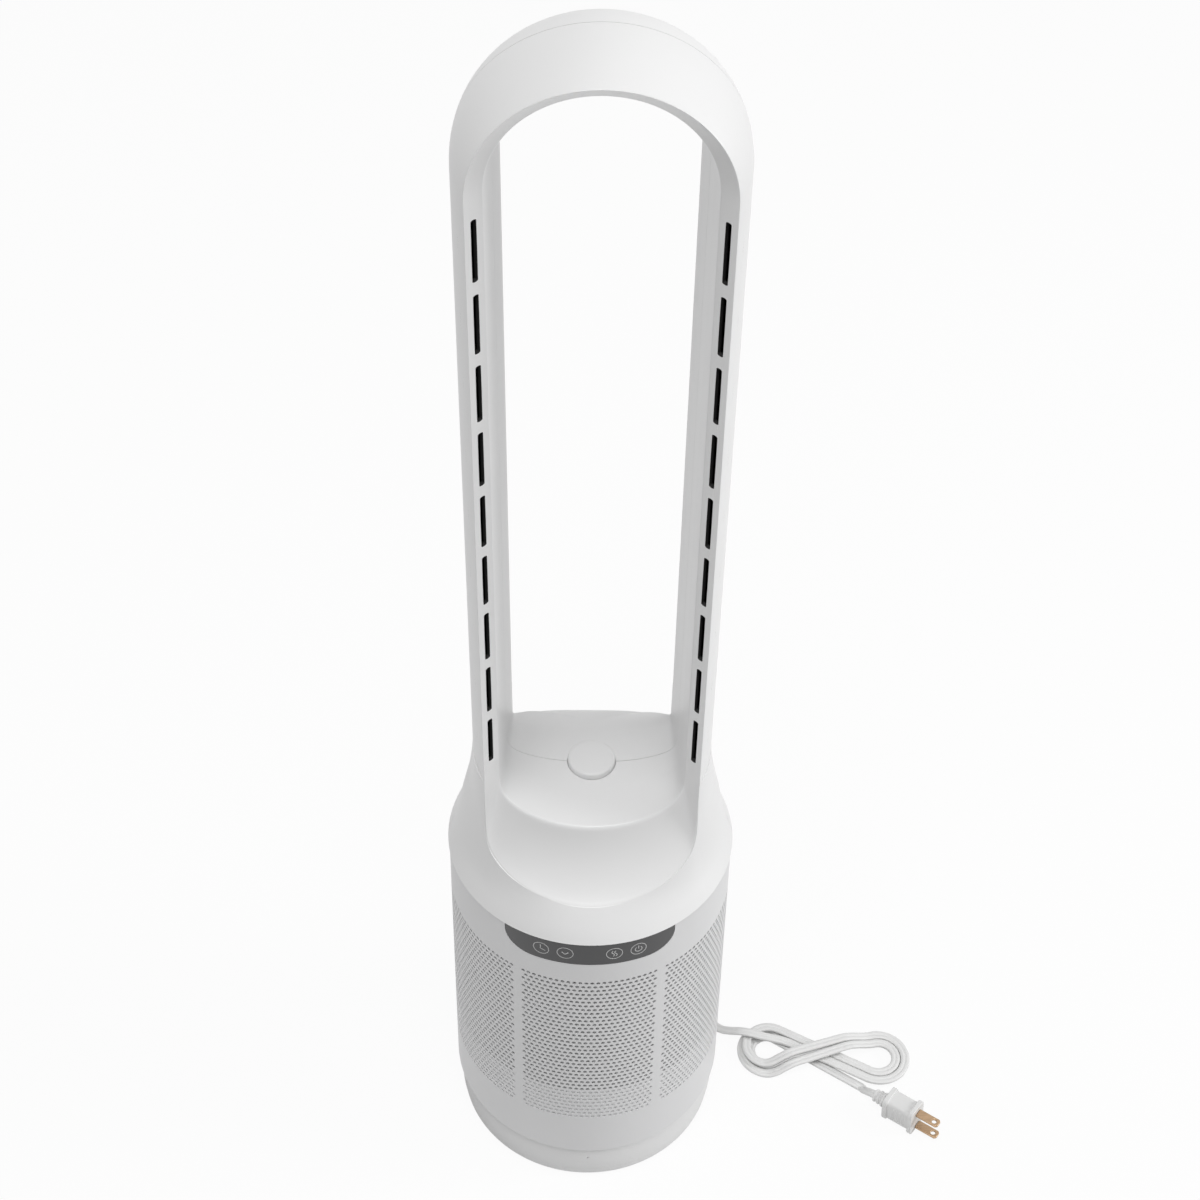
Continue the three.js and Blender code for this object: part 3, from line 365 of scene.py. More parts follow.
def holed_cell(width, closed):
    """One cell of the flat sheet: eight faces round an eight-sided hole, which closed fills for a dimple."""
    mesh = bpy.data.meshes.new("cell")
    bm = bmesh.new()
    made = bmesh.ops.create_grid(bm, x_segments=2, y_segments=2, size=0.5)
    middle = min(made["verts"], key=lambda corner: corner.co.length)
    bmesh.ops.delete(bm, geom=bm.faces[:], context="FACES_ONLY")
    bmesh.ops.delete(bm, geom=[middle], context="VERTS")
    bmesh.ops.scale(bm, vec=(width, row_rise, 1), verts=bm.verts[:])
    outline = bm.edges[:]
    made = bmesh.ops.create_circle(bm, cap_ends=closed, segments=8, radius=1)
    bmesh.ops.scale(bm, vec=(math.degrees(hole_radius / 86), hole_radius, 1), verts=made["verts"])
    hole = [edge for edge in bm.edges if edge not in outline]
    bmesh.ops.bridge_loops(bm, edges=outline + hole)
    bm.to_mesh(mesh)
    bm.free()
    return mesh


def plain_cell(width):
    mesh = bpy.data.meshes.new("plain")
    bm = bmesh.new()
    bmesh.ops.create_grid(bm, x_segments=1, y_segments=2, size=0.5)
    bmesh.ops.scale(bm, vec=(width, row_rise, 1), verts=bm.verts[:])
    bm.to_mesh(mesh)
    bm.free()
    return mesh


def laid(bm, mesh, x, y):
    first = len(bm.verts)
    bm.from_mesh(mesh)
    bm.verts.ensure_lookup_table()
    bmesh.ops.translate(bm, verts=bm.verts[first:], vec=(x, y, 0))


def holed_sheet():
    """One sixth of the sleeve, flat: degrees across, mm up, and a wall's thickness behind."""
    bm = bmesh.new()
    open_cell, dimple_cell = holed_cell(hole_turn, False), holed_cell(hole_turn, True)
    half_cell = plain_cell(hole_turn / 2)
    margin = 30 - 12 * hole_turn
    edge_cell = plain_cell(margin)
    for row in range(through_rows + dimple_rows):
        height = top_row - row * row_rise
        cell = open_cell if row < through_rows else dimple_cell
        count = 24 - row % 2
        for column in range(count):
            laid(bm, cell, (column - (count - 1) / 2) * hole_turn, height)
        for side in (-1, 1):
            if count == 23:
                laid(bm, half_cell, side * 11.75 * hole_turn, height)
            laid(bm, edge_cell, side * (30 - margin / 2), height)
    bmesh.ops.remove_doubles(bm, verts=bm.verts[:], dist=0.01)
    for corner in bm.verts:
        corner.co = (corner.co.x, 0, corner.co.y)
    behind = bmesh.ops.extrude_face_region(bm, geom=bm.faces[:], use_keep_orig=True)["geom"]
    back = [item for item in behind if isinstance(item, bmesh.types.BMVert)]
    bmesh.ops.translate(bm, verts=back, vec=(0, sleeve_wall, 0))
    dimples = [face for face in bm.faces if len(face.verts) == 8 and face.calc_center_median().y < 0.1]
    sunk = bmesh.ops.extrude_discrete_faces(bm, faces=dimples)["faces"]
    bmesh.ops.translate(bm, verts=list({corner for face in sunk for corner in face.verts}), vec=(0, 0.7, 0))
    for corner in bm.verts:
        corner.co = rolled(corner.co)
    bmesh.ops.recalc_face_normals(bm, faces=bm.faces[:])
    return bm


sheet = holed_sheet()
sleeve_pieces = []
for number in range(6):
    mesh = bpy.data.meshes.new(f"sleeve_panel_{number + 1}")
    turn = Matrix.Rotation(math.radians(-90 if number == 0 else 60), 3, "Z")
    bmesh.ops.rotate(sheet, cent=(0, 0, 0), matrix=turn, verts=sheet.verts[:])
    sheet.to_mesh(mesh)
    sleeve_pieces.append(show(shaded(mesh), mesh.name))
sheet.free()
holes_top = top_row + row_rise / 2
holes_foot = top_row - (through_rows + dimple_rows - 0.5) * row_rise


def sleeve_ring(name, z0, z1, proud=0.0):
    return turned(name, [
        (sleeve_radius(z0) - sleeve_wall, z0), (sleeve_radius(z0) + proud, z0),
        (sleeve_radius(z1) + proud, z1), (sleeve_radius(z1) - sleeve_wall, z1),
    ], 300)


def prism(name, outline, y0, y1):
    """An outline of (x, z) in mm carried from y0 to y1."""
    mesh = bpy.data.meshes.new(name)
    bm = bmesh.new()
    corners = [bm.verts.new((x * mm, y0 * mm, z * mm)) for x, z in outline]
    face = bm.faces.new(corners)
    moved = bmesh.ops.extrude_face_region(bm, geom=[face])["geom"]
    far = [item for item in moved if isinstance(item, bmesh.types.BMVert)]
    bmesh.ops.translate(bm, verts=far, vec=(0, (y1 - y0) * mm, 0))
    bmesh.ops.recalc_face_normals(bm, faces=bm.faces[:])
    bm.to_mesh(mesh)
    bm.free()
    return show(mesh, name)


def window_outline(margin):
    """The touch window seen from the front: square at the rim, with rounded lower corners."""
    half, low = 49.3 + margin, 233.5 - margin
    corner = []
    for step in range(11):
        t = step / 10
        weights = ((1 - t) ** 3, 3 * t * (1 - t) ** 2, 3 * t * t * (1 - t), t ** 3)
        across = sum(w * x for w, x in zip(weights, (half, half, half - 5, half - 17)))
        height = sum(w * z for w, z in zip(weights, (247.6, low + 7, low, low)))
        corner.append((across, height))
    return [(half, 260), *corner, *[(-x, z) for x, z in reversed(corner)], (-half, 260)]


top_band = sleeve_ring("sleeve_top_band", holes_top, sleeve_high)
carved(top_band, [(prism("notch", window_outline(0.3), -110, -40), "DIFFERENCE")])
low_band = sleeve_ring("sleeve_low_band", sleeve_low, holes_foot)
for piece in (*sleeve_pieces, top_band, low_band):
    piece.data.materials.clear()
    piece.data.materials.append(sleeve_abs)
    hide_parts("grille_sleeve")
    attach(piece, "tower")


# Touch window. A dark, glossy plastic pane set flush in the notch, with four thin printed rings that hold
# the signs for the timer, slower, air flow and power.
window_gloss = moulded_plastic("window_gloss", (0.05, 0.05, 0.052), 0.2, 900, 0.01)
window = sleeve_ring("touch_window", 231.5, sleeve_high, 0.1)
carved(window, [(prism("frame", window_outline(0), -110, -40), "INTERSECT")])
window.data.materials.clear()
window.data.materials.append(window_gloss)
softened(window, 0.3)
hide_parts("control_panel")
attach(window, "tower")


def on_window(across, height, lift):
    """A place on the window, across in mm from its middle, lift in mm proud of it."""
    radius = sleeve_radius(height) + 0.1
    angle = across / radius
    return Vector((math.sin(angle) * (radius + lift), -math.cos(angle) * (radius + lift), height)) * mm


def stroke(bm, points, width=0.42):
    """A printed line along points of (across, height), as a thin closed strip."""
    first = len(bm.verts)
    made = bmesh.ops.create_grid(bm, x_segments=4, y_segments=len(points) - 1, size=0.5)
    loop = points[0] == points[-1]
    for corner in made["verts"]:
        side = round((corner.co.x + 0.5) * 4) % 4
        spot = round((corner.co.y + 0.5) * (len(points) - 1))
        before = points[spot - 1] if spot > 0 else (points[-2] if loop else points[0])
        after = points[spot + 1] if spot < len(points) - 1 else (points[1] if loop else points[-1])
        along = Vector((after[0] - before[0], after[1] - before[1])).normalized()
        aside = width / 2 if side in (1, 2) else -width / 2
        lift = 0.08 if side in (2, 3) else -0.05
        corner.co = on_window(points[spot][0] - along.y * aside, points[spot][1] + along.x * aside, lift)
    bmesh.ops.remove_doubles(bm, verts=bm.verts[first:], dist=1e-7)
    bmesh.ops.holes_fill(bm, edges=[edge for edge in bm.edges if edge.is_boundary], sides=4)


def circle_points(across, height, radius, start=0, end=360, steps=40):
    spots = []
    for step in range(steps + 1):
        angle = math.radians(start + (end - start) * step / steps)
        spots.append((across + radius * math.cos(angle), height + radius * math.sin(angle)))
    if end - start == 360:
        spots[-1] = spots[0]
    return spots


sign_print = moulded_plastic("sign_print", (0.62, 0.62, 0.62), 0.45, 1500, 0.02)
sign_mesh = bpy.data.meshes.new("touch_signs")
bm = bmesh.new()
sign_height, sign_ring = 243, 4.75
sign_places = [math.radians(degrees) * 85.2 for degrees in (-19.45, -9.7, 9.7, 19.45)]
for place in sign_places:
    stroke(bm, circle_points(place, sign_height, sign_ring, steps=48), 0.36)
timer, slower, flow, power = sign_places
stroke(bm, [(timer - 0.4, 246.2), (timer - 0.4, 242.6), (timer + 2.6, 241.6)])
stroke(bm, [(slower - 2, 243.8), (slower, 241.9), (slower + 2, 243.8)], 0.6)
for shift in (-0.75, 0.75):
    middle = flow + shift * 1.1
    stroke(bm, [(middle + 0.8 * math.sin(step * math.pi / 6), 240.6 + step * 0.4) for step in range(13)])
stroke(bm, circle_points(power, 242.9, 2.1, -232, 52, 24))
stroke(bm, [(power, 243.2), (power, 246)])
bmesh.ops.recalc_face_normals(bm, faces=bm.faces[:])
bm.to_mesh(sign_mesh)
bm.free()
signs = show(shaded(sign_mesh), "touch_signs")
signs.data.materials.append(sign_print)
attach(signs, "tower")


# Air loop. Two white ABS shells, front and rear, meet on a fine upright seam. Outside they flare from two
# legs into a round shoulder; inside runs the air channel, which blows through nine slots in each leg's lip.
# The channel's inner walls and the slot walls are coloured near black as painted shade.
shell_wall = 2.4
arch_height, arch_rise = 726.3, 0.93
seam_y, seam_gap = 2, 0.3
lip_half, lip_y = 56.3, -38.9
# Painted shade: the channel and slot walls are white ABS like the outside, coloured near black here for the
# shade deep in the channel.
painted_channel_shade = moulded_plastic("painted_channel_shade", (0.02, 0.02, 0.02), 0.6, 1500, 0.1)


def formed(name, place, around, along, material=None, capped=True):
    """A grid closed round and carried corner by corner to place(column, row)."""
    mesh = bpy.data.meshes.new(name)
    bm = bmesh.new()
    bmesh.ops.create_grid(bm, x_segments=around, y_segments=along, size=0.5)
    for corner in bm.verts:
        column = round((corner.co.x + 0.5) * around) % around
        row = round((corner.co.y + 0.5) * along)
        corner.co = place(column, row)
    bmesh.ops.remove_doubles(bm, verts=bm.verts[:], dist=1e-6)
    if capped:
        bmesh.ops.holes_fill(bm, edges=bm.edges[:], sides=0)
    bmesh.ops.recalc_face_normals(bm, faces=bm.faces[:])
    bm.to_mesh(mesh)
    bm.free()
    if material:
        mesh.materials.append(material)
    return show(shaded(mesh), name)


def loop_half(y, inset):
    """Half width of the loop's outside at depth y: a long front curve and a quick turn in at the back."""
    widest = 68.2 - inset
    if y < -6:
        return widest * math.sqrt(1 - ((y + 6) / (79.7 - inset)) ** 2)
    share = min(1, (y + 6) / (33 - inset + 6))
    return 50 + (widest - 50) * math.sqrt(1 - share * share)


def paddle(inset, material):
    """The loop before its opening is cut: two legs and an arch, closed at the foot inside the shoulder."""
    back = 33 - inset
    depths = [-62 + 56 * step / 24 for step in range(24)]
    depths += [-6 + (back + 6) * math.sin(math.pi / 2 * step / 18) for step in range(19)]

    def place(column, row):
        y = depths[row]
        half = loop_half(y, inset)
        if column <= 80:
            angle = math.pi * column / 80
            return Vector((half * math.cos(angle), y, arch_height + arch_rise * half * math.sin(angle))) * mm
        share = (column - 81) / 14
        return Vector((half * (2 * share - 1), y, 300)) * mm

    return formed("paddle", place, 96, len(depths) - 1, material)


# Each row is a height, then the radius at each turn below, in degrees from the side: -90 is the front.
shoulder_levels = [
    (252.6, 85.9, 85.9, 85.9, 85.9, 85.9), (258, 81.8, 83.2, 84.0, 83.9, 83.8),
    (265, 75.0, 79.6, 81.8, 81.0, 80.2), (273, 67.0, 77.1, 79.9, 77.2, 75.5),
    (283, 61.5, 75.5, 77.9, 72.4, 68.4), (294, 58.5, 74.8, 75.9, 67.5, 60.5),
    (304, 56.5, 74.5, 73.7, 63.8, 51.0), (308, 55.8, 74.4, 72.9, 62.6, 43.8),
    (311.5, 55.0, 74.3, 72.0, 61.5, 33.8), (320, 52.0, 74.2, 70.6, 60.5, 30.0),
    (330, 50.0, 74.1, 69.4, 59.9, 30.0), (345, 50.0, 74.0, 68.2, 59.5, 30.0),
]
shoulder_turns = (-90, -36, -3, 33.4, 90)


def level_at(height):
    """The shoulder's five radii at a height, by a smooth curve through the measured levels."""
    k = max(k for k in range(len(shoulder_levels) - 1) if shoulder_levels[k][0] <= height or k == 0)
    low, high = shoulder_levels[k], shoulder_levels[k + 1]
    before, after = shoulder_levels[max(0, k - 1)], shoulder_levels[min(len(shoulder_levels) - 1, k + 2)]
    step = high[0] - low[0]
    t = (height - low[0]) / step
    radii = []
    for column in range(1, 6):
        start = (high[column] - before[column]) / (high[0] - before[0]) * step
        end = (after[column] - low[column]) / (after[0] - low[0]) * step
        radii.append((1 + 2 * t) * (1 - t) ** 2 * low[column] + t * (1 - t) ** 2 * start
                     + t * t * (3 - 2 * t) * high[column] + t * t * (t - 1) * end)
    return radii


def shoulder(inset, material):
    heights = [252.6 + (345 - 252.6) * (step / 44) for step in range(45)]
    if inset:
        heights = [246.6] + heights

    def place(column, row):
        degrees = -180 + 2 * column
        folded = 180 - degrees if degrees > 90 else (-180 - degrees if degrees < -90 else degrees)
        k = max(k for k in range(4) if shoulder_turns[k] <= folded)
        share = (folded - shoulder_turns[k]) / (shoulder_turns[k + 1] - shoulder_turns[k])
        radii = level_at(max(252.6, heights[row]))
        radius = radii[k] + (radii[k + 1] - radii[k]) * share * share * (3 - 2 * share) - 1.15 * inset
        angle = math.radians(degrees)
        drop = 0.6 * inset if heights[row] > 252.6 else 0
        return Vector((radius * math.cos(angle), radius * math.sin(angle), heights[row] - drop)) * mm

    return formed("shoulder", place, 180, len(heights) - 1, material)


def mixed(a, b, t):
    return tuple(p + (q - p) * t for p, q in zip(a, b))


def bent(a, b, c, steps):
    """Rows along a curve from a to c that is pulled towards b."""
    return [mixed(mixed(a, b, k / steps), mixed(b, c, k / steps), k / steps) for k in range(steps + 1)]


def opening(grow, material):
    """The air inside the loop. Each row is half width, depth, lowest height, rise of the sides, sweep."""
    back = (47.2 + grow, 33, 310.6 - grow, 5 + grow, 0)
    seam = (49.7 + grow, 2, 313.3 - grow, 20 + grow, 0)
    floor = (50.8 + grow, -20, 312.7 - grow, 23 + grow, 0)
    throat = (52.2 + grow, -34.8 + 0.41 * grow, 309.5 - grow, 25 + grow, 11 - 0.15 * grow)
    scoop = (lip_half + 0.5 * grow, lip_y + 0.91 * grow, 281.5 - grow, 27 + grow, 10.5 - 0.2 * grow)
    crest = (60.4, -43 + 1.41 * grow, 269, 29, 27.5 - 0.24 * grow)
    turned_out = (60.6, -42.5 + 1.41 * grow, 268.65, 29.35, 28.36 - 0.24 * grow)
    front = (80.4, -62.5 + 1.41 * grow, 262.6, 37.4, 40)
    lip = bent(throat, scoop, crest, 16)
    rows = [(0.001, 70, 500, 0, 0), (back[0], 70, *back[2:])]
    rows += [back] + bent(back, seam, floor, 12)[1:-1]
    rows += bent(mixed(throat, floor, 0.07), throat, lip[1], 5) + lip[2:-1]
    rows += bent(mixed(crest, lip[-2], 0.6), crest, turned_out, 4) + [front, (0.001, -220, 500, 0, 0)]

    def place(column, row):
        half, y, low, rise, sweep = rows[row]
        if half < 1:
            return Vector((0, y, low)) * mm
        if column < 64:
            angle = math.pi * column / 63
            return Vector((half * math.cos(angle), y, arch_height + arch_rise * half * math.sin(angle))) * mm
        angle = math.pi * (column - 64) / 63
        down = math.sin(angle)
        upturn = 0.5 * rise * math.exp(-down / 0.12)
        height = low + rise * (1 - down) + upturn
        return Vector((-half * math.cos(angle), y - sweep * down ** 1.6, height)) * mm

    return formed("opening", place, 128, len(rows) - 1, material)


slot_count, slot_top, slot_pitch = 9, 716, 40.34
slot_half, slot_radius, slot_depth = 15.75, 1.8, 14


def slots():
    """Cutters down each lip, square to its slant, each a round rod pulled long with flattened ends."""
    mesh = bpy.data.meshes.new("slots")
    bm = bmesh.new()
    for side in (-1, 1):
        for number in range(slot_count):
            first = len(bm.verts)
            bmesh.ops.create_cone(bm, cap_ends=True, segments=24, radius1=slot_radius * mm,
                                  radius2=slot_radius * mm, depth=slot_depth * mm)
            bm.verts.ensure_lookup_table()
            made = bm.verts[first:]
            for corner in made:
                end = math.copysign(slot_half * mm, corner.co.x) if abs(corner.co.x) > 1e-6 else 0
                corner.co.x = 0.5 * corner.co.x + end
            tilt = Matrix.Rotation(math.radians(-45 * side), 4, "Z") @ Matrix.Rotation(math.pi / 2, 4, "X")
            tilt = tilt @ Matrix.Rotation(math.pi / 2, 4, "Z") @ Matrix.Translation((0, 0, -2 * mm))
            height = slot_top - (slot_half + slot_radius) - number * slot_pitch
            spot = Vector((side * lip_half, lip_y, height)) * mm
            bmesh.ops.transform(bm, matrix=Matrix.Translation(spot) @ tilt, verts=made)
    bmesh.ops.recalc_face_normals(bm, faces=bm.faces[:])
    bm.to_mesh(mesh)
    bm.free()
    # The slot walls take the near-black painted shade material.
    mesh.materials.append(painted_channel_shade)
    return show(mesh, "slots")


def slab(name, y0, y1):
    return prism(name, [(-150, 200), (150, 200), (150, 900), (-150, 900)], y0, y1)


def loop_body(inset, material):
    joined = [(shoulder(inset, material), "UNION"), (opening(inset, material), "DIFFERENCE")]
    return carved(paddle(inset, material), joined)


outside = loop_body(0, white_abs)
# The inside faces of the loop take the near-black painted shade material.
hollow = loop_body(shell_wall, painted_channel_shade)
cap_well = turned("cap_well", [(0, 311.4), (14.3, 311.4), (14.3, 330), (0, 330)], 64)
cap_place = Matrix.Translation((0, seam_y * mm, 0))
cap_well.data.transform(cap_place)
cap_well.data.materials.append(white_abs)
outside = carved(outside, [(hollow, "DIFFERENCE"), (slots(), "DIFFERENCE"), (cap_well, "DIFFERENCE")])
rear = show(outside.data.copy(), "rear_shell_moulding")
outside.name = "front_shell_moulding"
seam_front, seam_back = seam_y - seam_gap / 2, seam_y + seam_gap / 2
for piece, y0, y1, node in ((outside, -200, seam_front, "front_shell"), (rear, seam_back, 200, "rear_shell")):
    carved(piece, [(slab("half", y0, y1), "INTERSECT")])
    evened = piece.modifiers.new("even_shading", "WEIGHTED_NORMAL")
    evened.keep_sharp = True
    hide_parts(node)
    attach(piece, "tower")


# Cap. A low round button of white ABS that snaps over the seam in the floor of the opening.
cap = turned("seam_button", [
    (0, 306), (5, 306), (5, 311.6), (13.5, 311.6), (14, 312), (14, 315.6), (13.85, 316.15), (13.5, 316.55),
    (12.9, 316.85), (11.5, 317), (7, 317.15), (0, 317.2),
], 96)
cap.data.transform(cap_place)
cap.data.materials.append(white_abs)
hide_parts("seam_cap")
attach(cap, "tower")


# Mains cord. A flat twin vinyl cord leaves the back of the foot, comes round on the floor, and is wound
# three times into a figure eight; the tail leaves the loops low down and rises a little into the plug.
cord_width, cord_height, cord_rest = 0.006, 0.003, 0.0001
strand_pitch, layer_step = 0.0065, 0.0038
left_middle, right_middle = Vector((0.1253, 0.0143)), Vector((0.201, 0.0074))
inner_right, inner_left = 0.0135, 0.0165
low = cord_rest + cord_height / 2


def gently(share):
    share = min(1, max(0, share))
    return share * share * (3 - 2 * share)


def wound_path(arc_steps, run_steps):
    """The figure eight: B runs go to the right loop's bottom, A runs come back over them."""
    half = strand_pitch / 2
    right_from = [inner_right + strand_pitch, inner_right, inner_right]
    right_to = [inner_right + half, inner_right - half, inner_right + half]
    right_layer = [1, 1, 0]
    left_from = [inner_left - half, inner_left + half, inner_left - half]
    left_to = [inner_left, inner_left, inner_left - strand_pitch]
    left_layer = [1, 0, 0]
    across = right_middle - left_middle
    spread = inner_right + inner_left
    axis = math.atan2(across.y, across.x)
    tilt = math.asin(spread / across.length)
    run = math.sqrt(across.length ** 2 - spread ** 2)
    sweep = math.pi + 2 * tilt
    right_start = axis - tilt - math.pi / 2
    left_start = axis + tilt + 1.5 * math.pi
    path = []

    def at(middle, radius, angle):
        return middle + radius * Vector((math.cos(angle), math.sin(angle)))

    def add(spot, layer, rise=0.0):
        path.append(Vector((spot.x, spot.y, low + layer * layer_step + rise)))

    def lift(travel):
        return 2 * layer_step * gently((travel + 0.003) / 0.024) * gently((run + 0.01 - travel) / 0.024)

    for turn in range(4):
        last = turn == 3
        leaving = inner_left - strand_pitch if turn == 0 else left_to[turn - 1]
        start = at(left_middle, leaving, left_start - sweep)
        radius = inner_right + 2 * strand_pitch if last else right_from[turn]
        end = at(right_middle, radius, right_start)
        first, final = (0.24 if turn == 0 else 0), (0.92 if last else 1)
        for step in range(run_steps):
            share = first + (final - first) * step / run_steps
            add(start.lerp(end, share), 0 if last else right_layer[turn])
        if last:
            add(start.lerp(end, final), 0)
            break
        for step in range(arc_steps):
            share = step / arc_steps
            radius = right_from[turn] + (right_to[turn] - right_from[turn]) * share
            spot = at(right_middle, radius, right_start + sweep * share)
            add(spot, right_layer[turn], lift(-(1 - share) * sweep * radius))
        start = at(right_middle, right_to[turn], right_start + sweep)
        end = at(left_middle, left_from[turn], left_start)
        for step in range(run_steps):
            share = step / run_steps
            drop = right_layer[turn] + (left_layer[turn] - right_layer[turn]) * gently(share)
            add(start.lerp(end, share), drop, lift(run * share))
        for step in range(arc_steps):
            share = step / arc_steps
            radius = left_from[turn] + (left_to[turn] - left_from[turn]) * share
            spot = at(left_middle, radius, left_start - sweep * share)
            add(spot, left_layer[turn], lift(run + share * sweep * radius))
    return path


def curved_through(points, steps):
    """A smooth line through points, with its ends running on straight."""
    points = [2 * points[0] - points[1], *points, 2 * points[-1] - points[-2]]
    line = []
    for a, b, c, d in zip(points, points[1:], points[2:], points[3:]):
        knots = [0.0]
        for p, q in ((a, b), (b, c), (c, d)):
            knots.append(knots[-1] + max(1e-6, (q - p).length ** 0.5))
        for step in range(steps):
            t = knots[1] + (knots[2] - knots[1]) * step / steps
            shares = [(t - knots[k]) / (knots[k + 1] - knots[k]) for k in range(3)]
            first = [a.lerp(b, shares[0]), b.lerp(c, shares[1]), c.lerp(d, shares[2])]
            second = [first[k].lerp(first[k + 1], (t - knots[k]) / (knots[k + 2] - knots[k])) for k in (0, 1)]
            line.append(second[0].lerp(second[1], (t - knots[1]) / (knots[2] - knots[1])))
    line.append(points[-2])
    return line


loops = wound_path(40, 20)
gland_end = Vector((0, 0.0984, 0.0115))
plug_start = Vector((0.1954, -0.0262, 0.0094))
lead_points = [
    gland_end + Vector((0, 0.0003, 0)), gland_end + Vector((0.0003, 0.005, 0)), (0.0007, 0.1094, 0.009),
    (0.0013, 0.1154, 0.0046), (0.004, 0.1214, 0.0025), (0.012, 0.1255, 0.0021), (0.024, 0.1225, 0.0021),
    (0.038, 0.1115, 0.0021), (0.051, 0.0975, 0.0021), (0.062, 0.083, 0.0021), (0.072, 0.0675, 0.0021),
    (0.081, 0.0495, 0.0022), (0.0875, 0.0355, 0.0028), (0.0935, 0.029, 0.0046), (0.1, 0.026, 0.0071),
    (0.106, 0.0242, 0.0093), (0.113, 0.0228, 0.0096), (0.1202, 0.0214, 0.0084), (0.129, 0.0204, 0.0066),
    (0.136, 0.0192, 0.0056), loops[0] + (loops[0] - loops[1]).normalized() * 0.004,
]
tail_points = [
    loops[-1] + (loops[-1] - loops[-2]).normalized() * 0.0045, (0.1889, -0.0186, 0.0036),
    (0.1908, -0.0216, 0.0064), (0.193, -0.0243, 0.0087), plug_start,
]
lead_line = curved_through([Vector(p) for p in lead_points] + [loops[0]], 6)
tail_line = curved_through([loops[-1]] + [Vector(p) for p in tail_points], 6)
cord_line = lead_line[:-1] + loops + tail_line[1:]


def flat_twin(line, around):
    """Carries a column and a row to the surface of a flat twin cord on that line."""
    count = len(line) - 1

    def place(column, spot):
        along = (line[min(count, spot + 1)] - line[max(0, spot - 1)]).normalized()
        aside = Vector((-along.y, along.x, 0)).normalized()
        up = along.cross(aside)
        angle = 2 * math.pi * column / around
        wide = math.cos(angle)
        tall = math.copysign(abs(math.sin(angle)) ** 0.55, math.sin(angle))
        tall *= 1 - 0.32 * math.exp(-(wide / 0.24) ** 2)
        return line[spot] + aside * wide * cord_width / 2 + up * tall * cord_height / 2

    return place


white_vinyl = moulded_plastic("cord_vinyl", (0.76, 0.76, 0.755), 0.42, 1500, 0.12)
cord = formed("mains_cord", flat_twin(cord_line, 28), 28, len(cord_line) - 1, white_vinyl)
cord_length = sum((q - p).length for p, q in zip(cord_line, cord_line[1:]))


# Cord boot and plug. The boot is ribbed vinyl, pushed into the foot. The plug is moulded on: a ringed strain
# relief, an eight-sided grip with a raised flange at each end, and two flat brass blades with a hole each.
boot = turned("cord_boot", [
    (0, 75.4), (5.7, 75.4), (5.7, 78.8), (4.8, 78.8), (4.8, 85.4), (6, 85.4), (6.2, 85.6), (6.2, 87),
    (5.9, 87.4), (4.9, 87.8), (4.7, 89.4), (4, 89.6), (4, 90.6), (4.6, 90.8), (4.5, 92.4), (3.8, 92.6),
    (3.8, 93.6), (4.4, 93.8), (4.3, 95.4), (3.6, 95.6), (3.6, 96.6), (4.2, 96.8), (3.9, 98.2),
    (3.7, 98.4), (0, 98.4),
], 48)
boot.data.transform(Matrix.Translation((0, 0, 0.0115)) @ Matrix.Rotation(-math.pi / 2, 4, "X"))
boot.data.materials.append(white_vinyl)
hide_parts("cord_gland")
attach(boot, "base")

plug_place = (Matrix.Translation(plug_start) @ Matrix.Rotation(math.radians(-37), 4, "Z")
              @ Matrix.Rotation(math.radians(-4), 4, "Y"))


def eight_sided(bm, half_width, half_height, corner, x0, x1):
    """A block along X with its long corners cut, from x0 to x1."""
    made = bmesh.ops.create_cube(bm, size=1)["verts"]
    size = Vector((x1 - x0, 2 * half_width, 2 * half_height)) * mm
    bmesh.ops.scale(bm, vec=size, verts=made)
    bmesh.ops.translate(bm, verts=made, vec=Vector(((x0 + x1) / 2, 0, 0)) * mm)
    long_edges = [edge for edge in {e for v in made for e in v.link_edges}
                  if abs(edge.verts[0].co.x - edge.verts[1].co.x) > 1e-6]
    bmesh.ops.bevel(bm, geom=long_edges, offset=corner * mm, affect="EDGES", segments=3, profile=0.5,
                    material=-1)


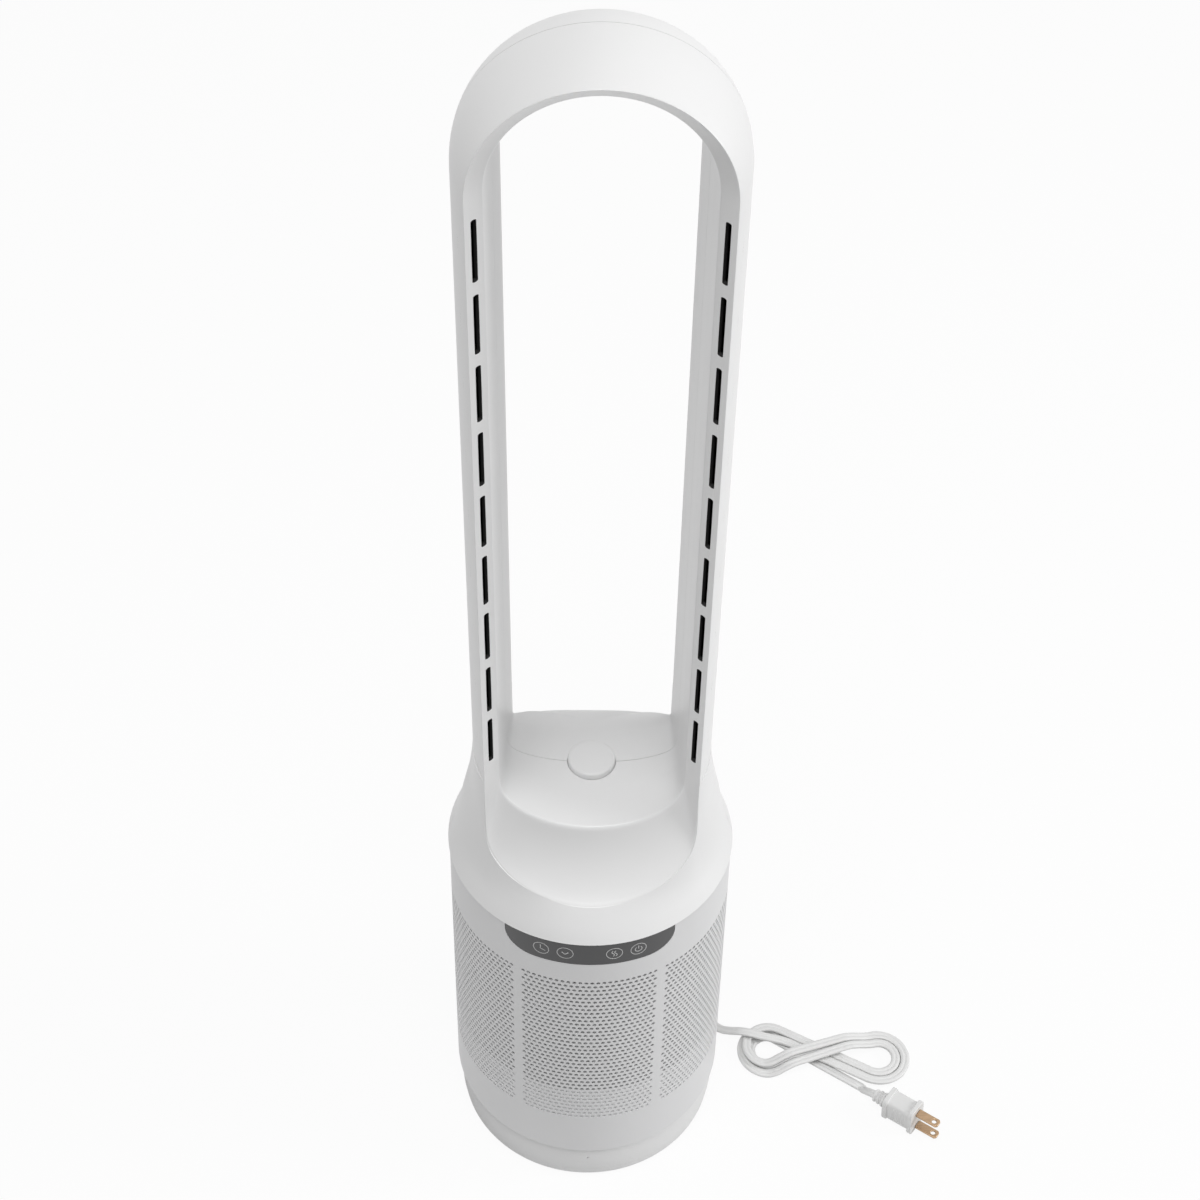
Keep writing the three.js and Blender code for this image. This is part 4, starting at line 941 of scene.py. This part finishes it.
relief = turned("relief", [
    (0, 0), (4.2, 0), (4.5, 0.4), (4.5, 1.6), (3.7, 1.9), (3.7, 2.7), (4.7, 3), (4.8, 4.6), (3.9, 4.9),
    (3.9, 5.7), (4.9, 6), (5.2, 7.6), (4.2, 8), (4.2, 11), (0, 11),
], 40)
relief.data.transform(Matrix.Rotation(math.pi / 2, 4, "Y"))
plug_mesh = bpy.data.meshes.new("plug_moulding")
bm = bmesh.new()
bm.from_mesh(relief.data)
bpy.data.objects.remove(relief)
eight_sided(bm, 7.9, 9.6, 3, 9.6, 13)
eight_sided(bm, 6.9, 8.6, 2.2, 12, 30.5)
for along in (17, 19.6, 22.2, 24.8):
    eight_sided(bm, 7.3, 7, 1.6, along, along + 1.2)
eight_sided(bm, 8.4, 11, 4, 29.3, 32.5)
bmesh.ops.recalc_face_normals(bm, faces=bm.faces[:])
bmesh.ops.transform(bm, matrix=plug_place, verts=bm.verts[:])
bm.to_mesh(plug_mesh)
bm.free()
plug = show(shaded(plug_mesh), "plug_moulding")
plug.data.materials.append(white_vinyl)
softened(plug, 0.45)
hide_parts("plug_body")
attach(plug, "base")

blade_outline = [(32.8, -3.15), (47.6, -3.15), (48.8, -1.9), (48.8, 1.9), (47.6, 3.15), (32.8, 3.15)]
blade_offset = 6.35
brass = coated_steel("worn_brass", (0.55, 0.38, 0.24), 0.34, (0.1, 1, 1))
for number, side in ((1, 1), (2, -1)):
    blade = prism(f"blade_{number}", blade_outline, -0.75, 0.75)
    laid_flat = Matrix.Translation((0, 0, side * blade_offset * mm)) @ Matrix.Rotation(-math.pi / 2, 4, "X")
    blade.data.transform(laid_flat)
    bored(blade, [(45.1, 0)], 1.6, side * blade_offset - 3, side * blade_offset + 3)
    blade.data.transform(plug_place)
    blade.data.materials.clear()
    blade.data.materials.append(brass)
    softened(blade, 0.25)
    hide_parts(f"plug_blade_{number}")
    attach(blade, "base")

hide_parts("cord_lead", "cord_hank", "cord_tail")
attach(cord, "base")
tuple(cord_line[0])
[tuple(spot) for spot in cord_line]
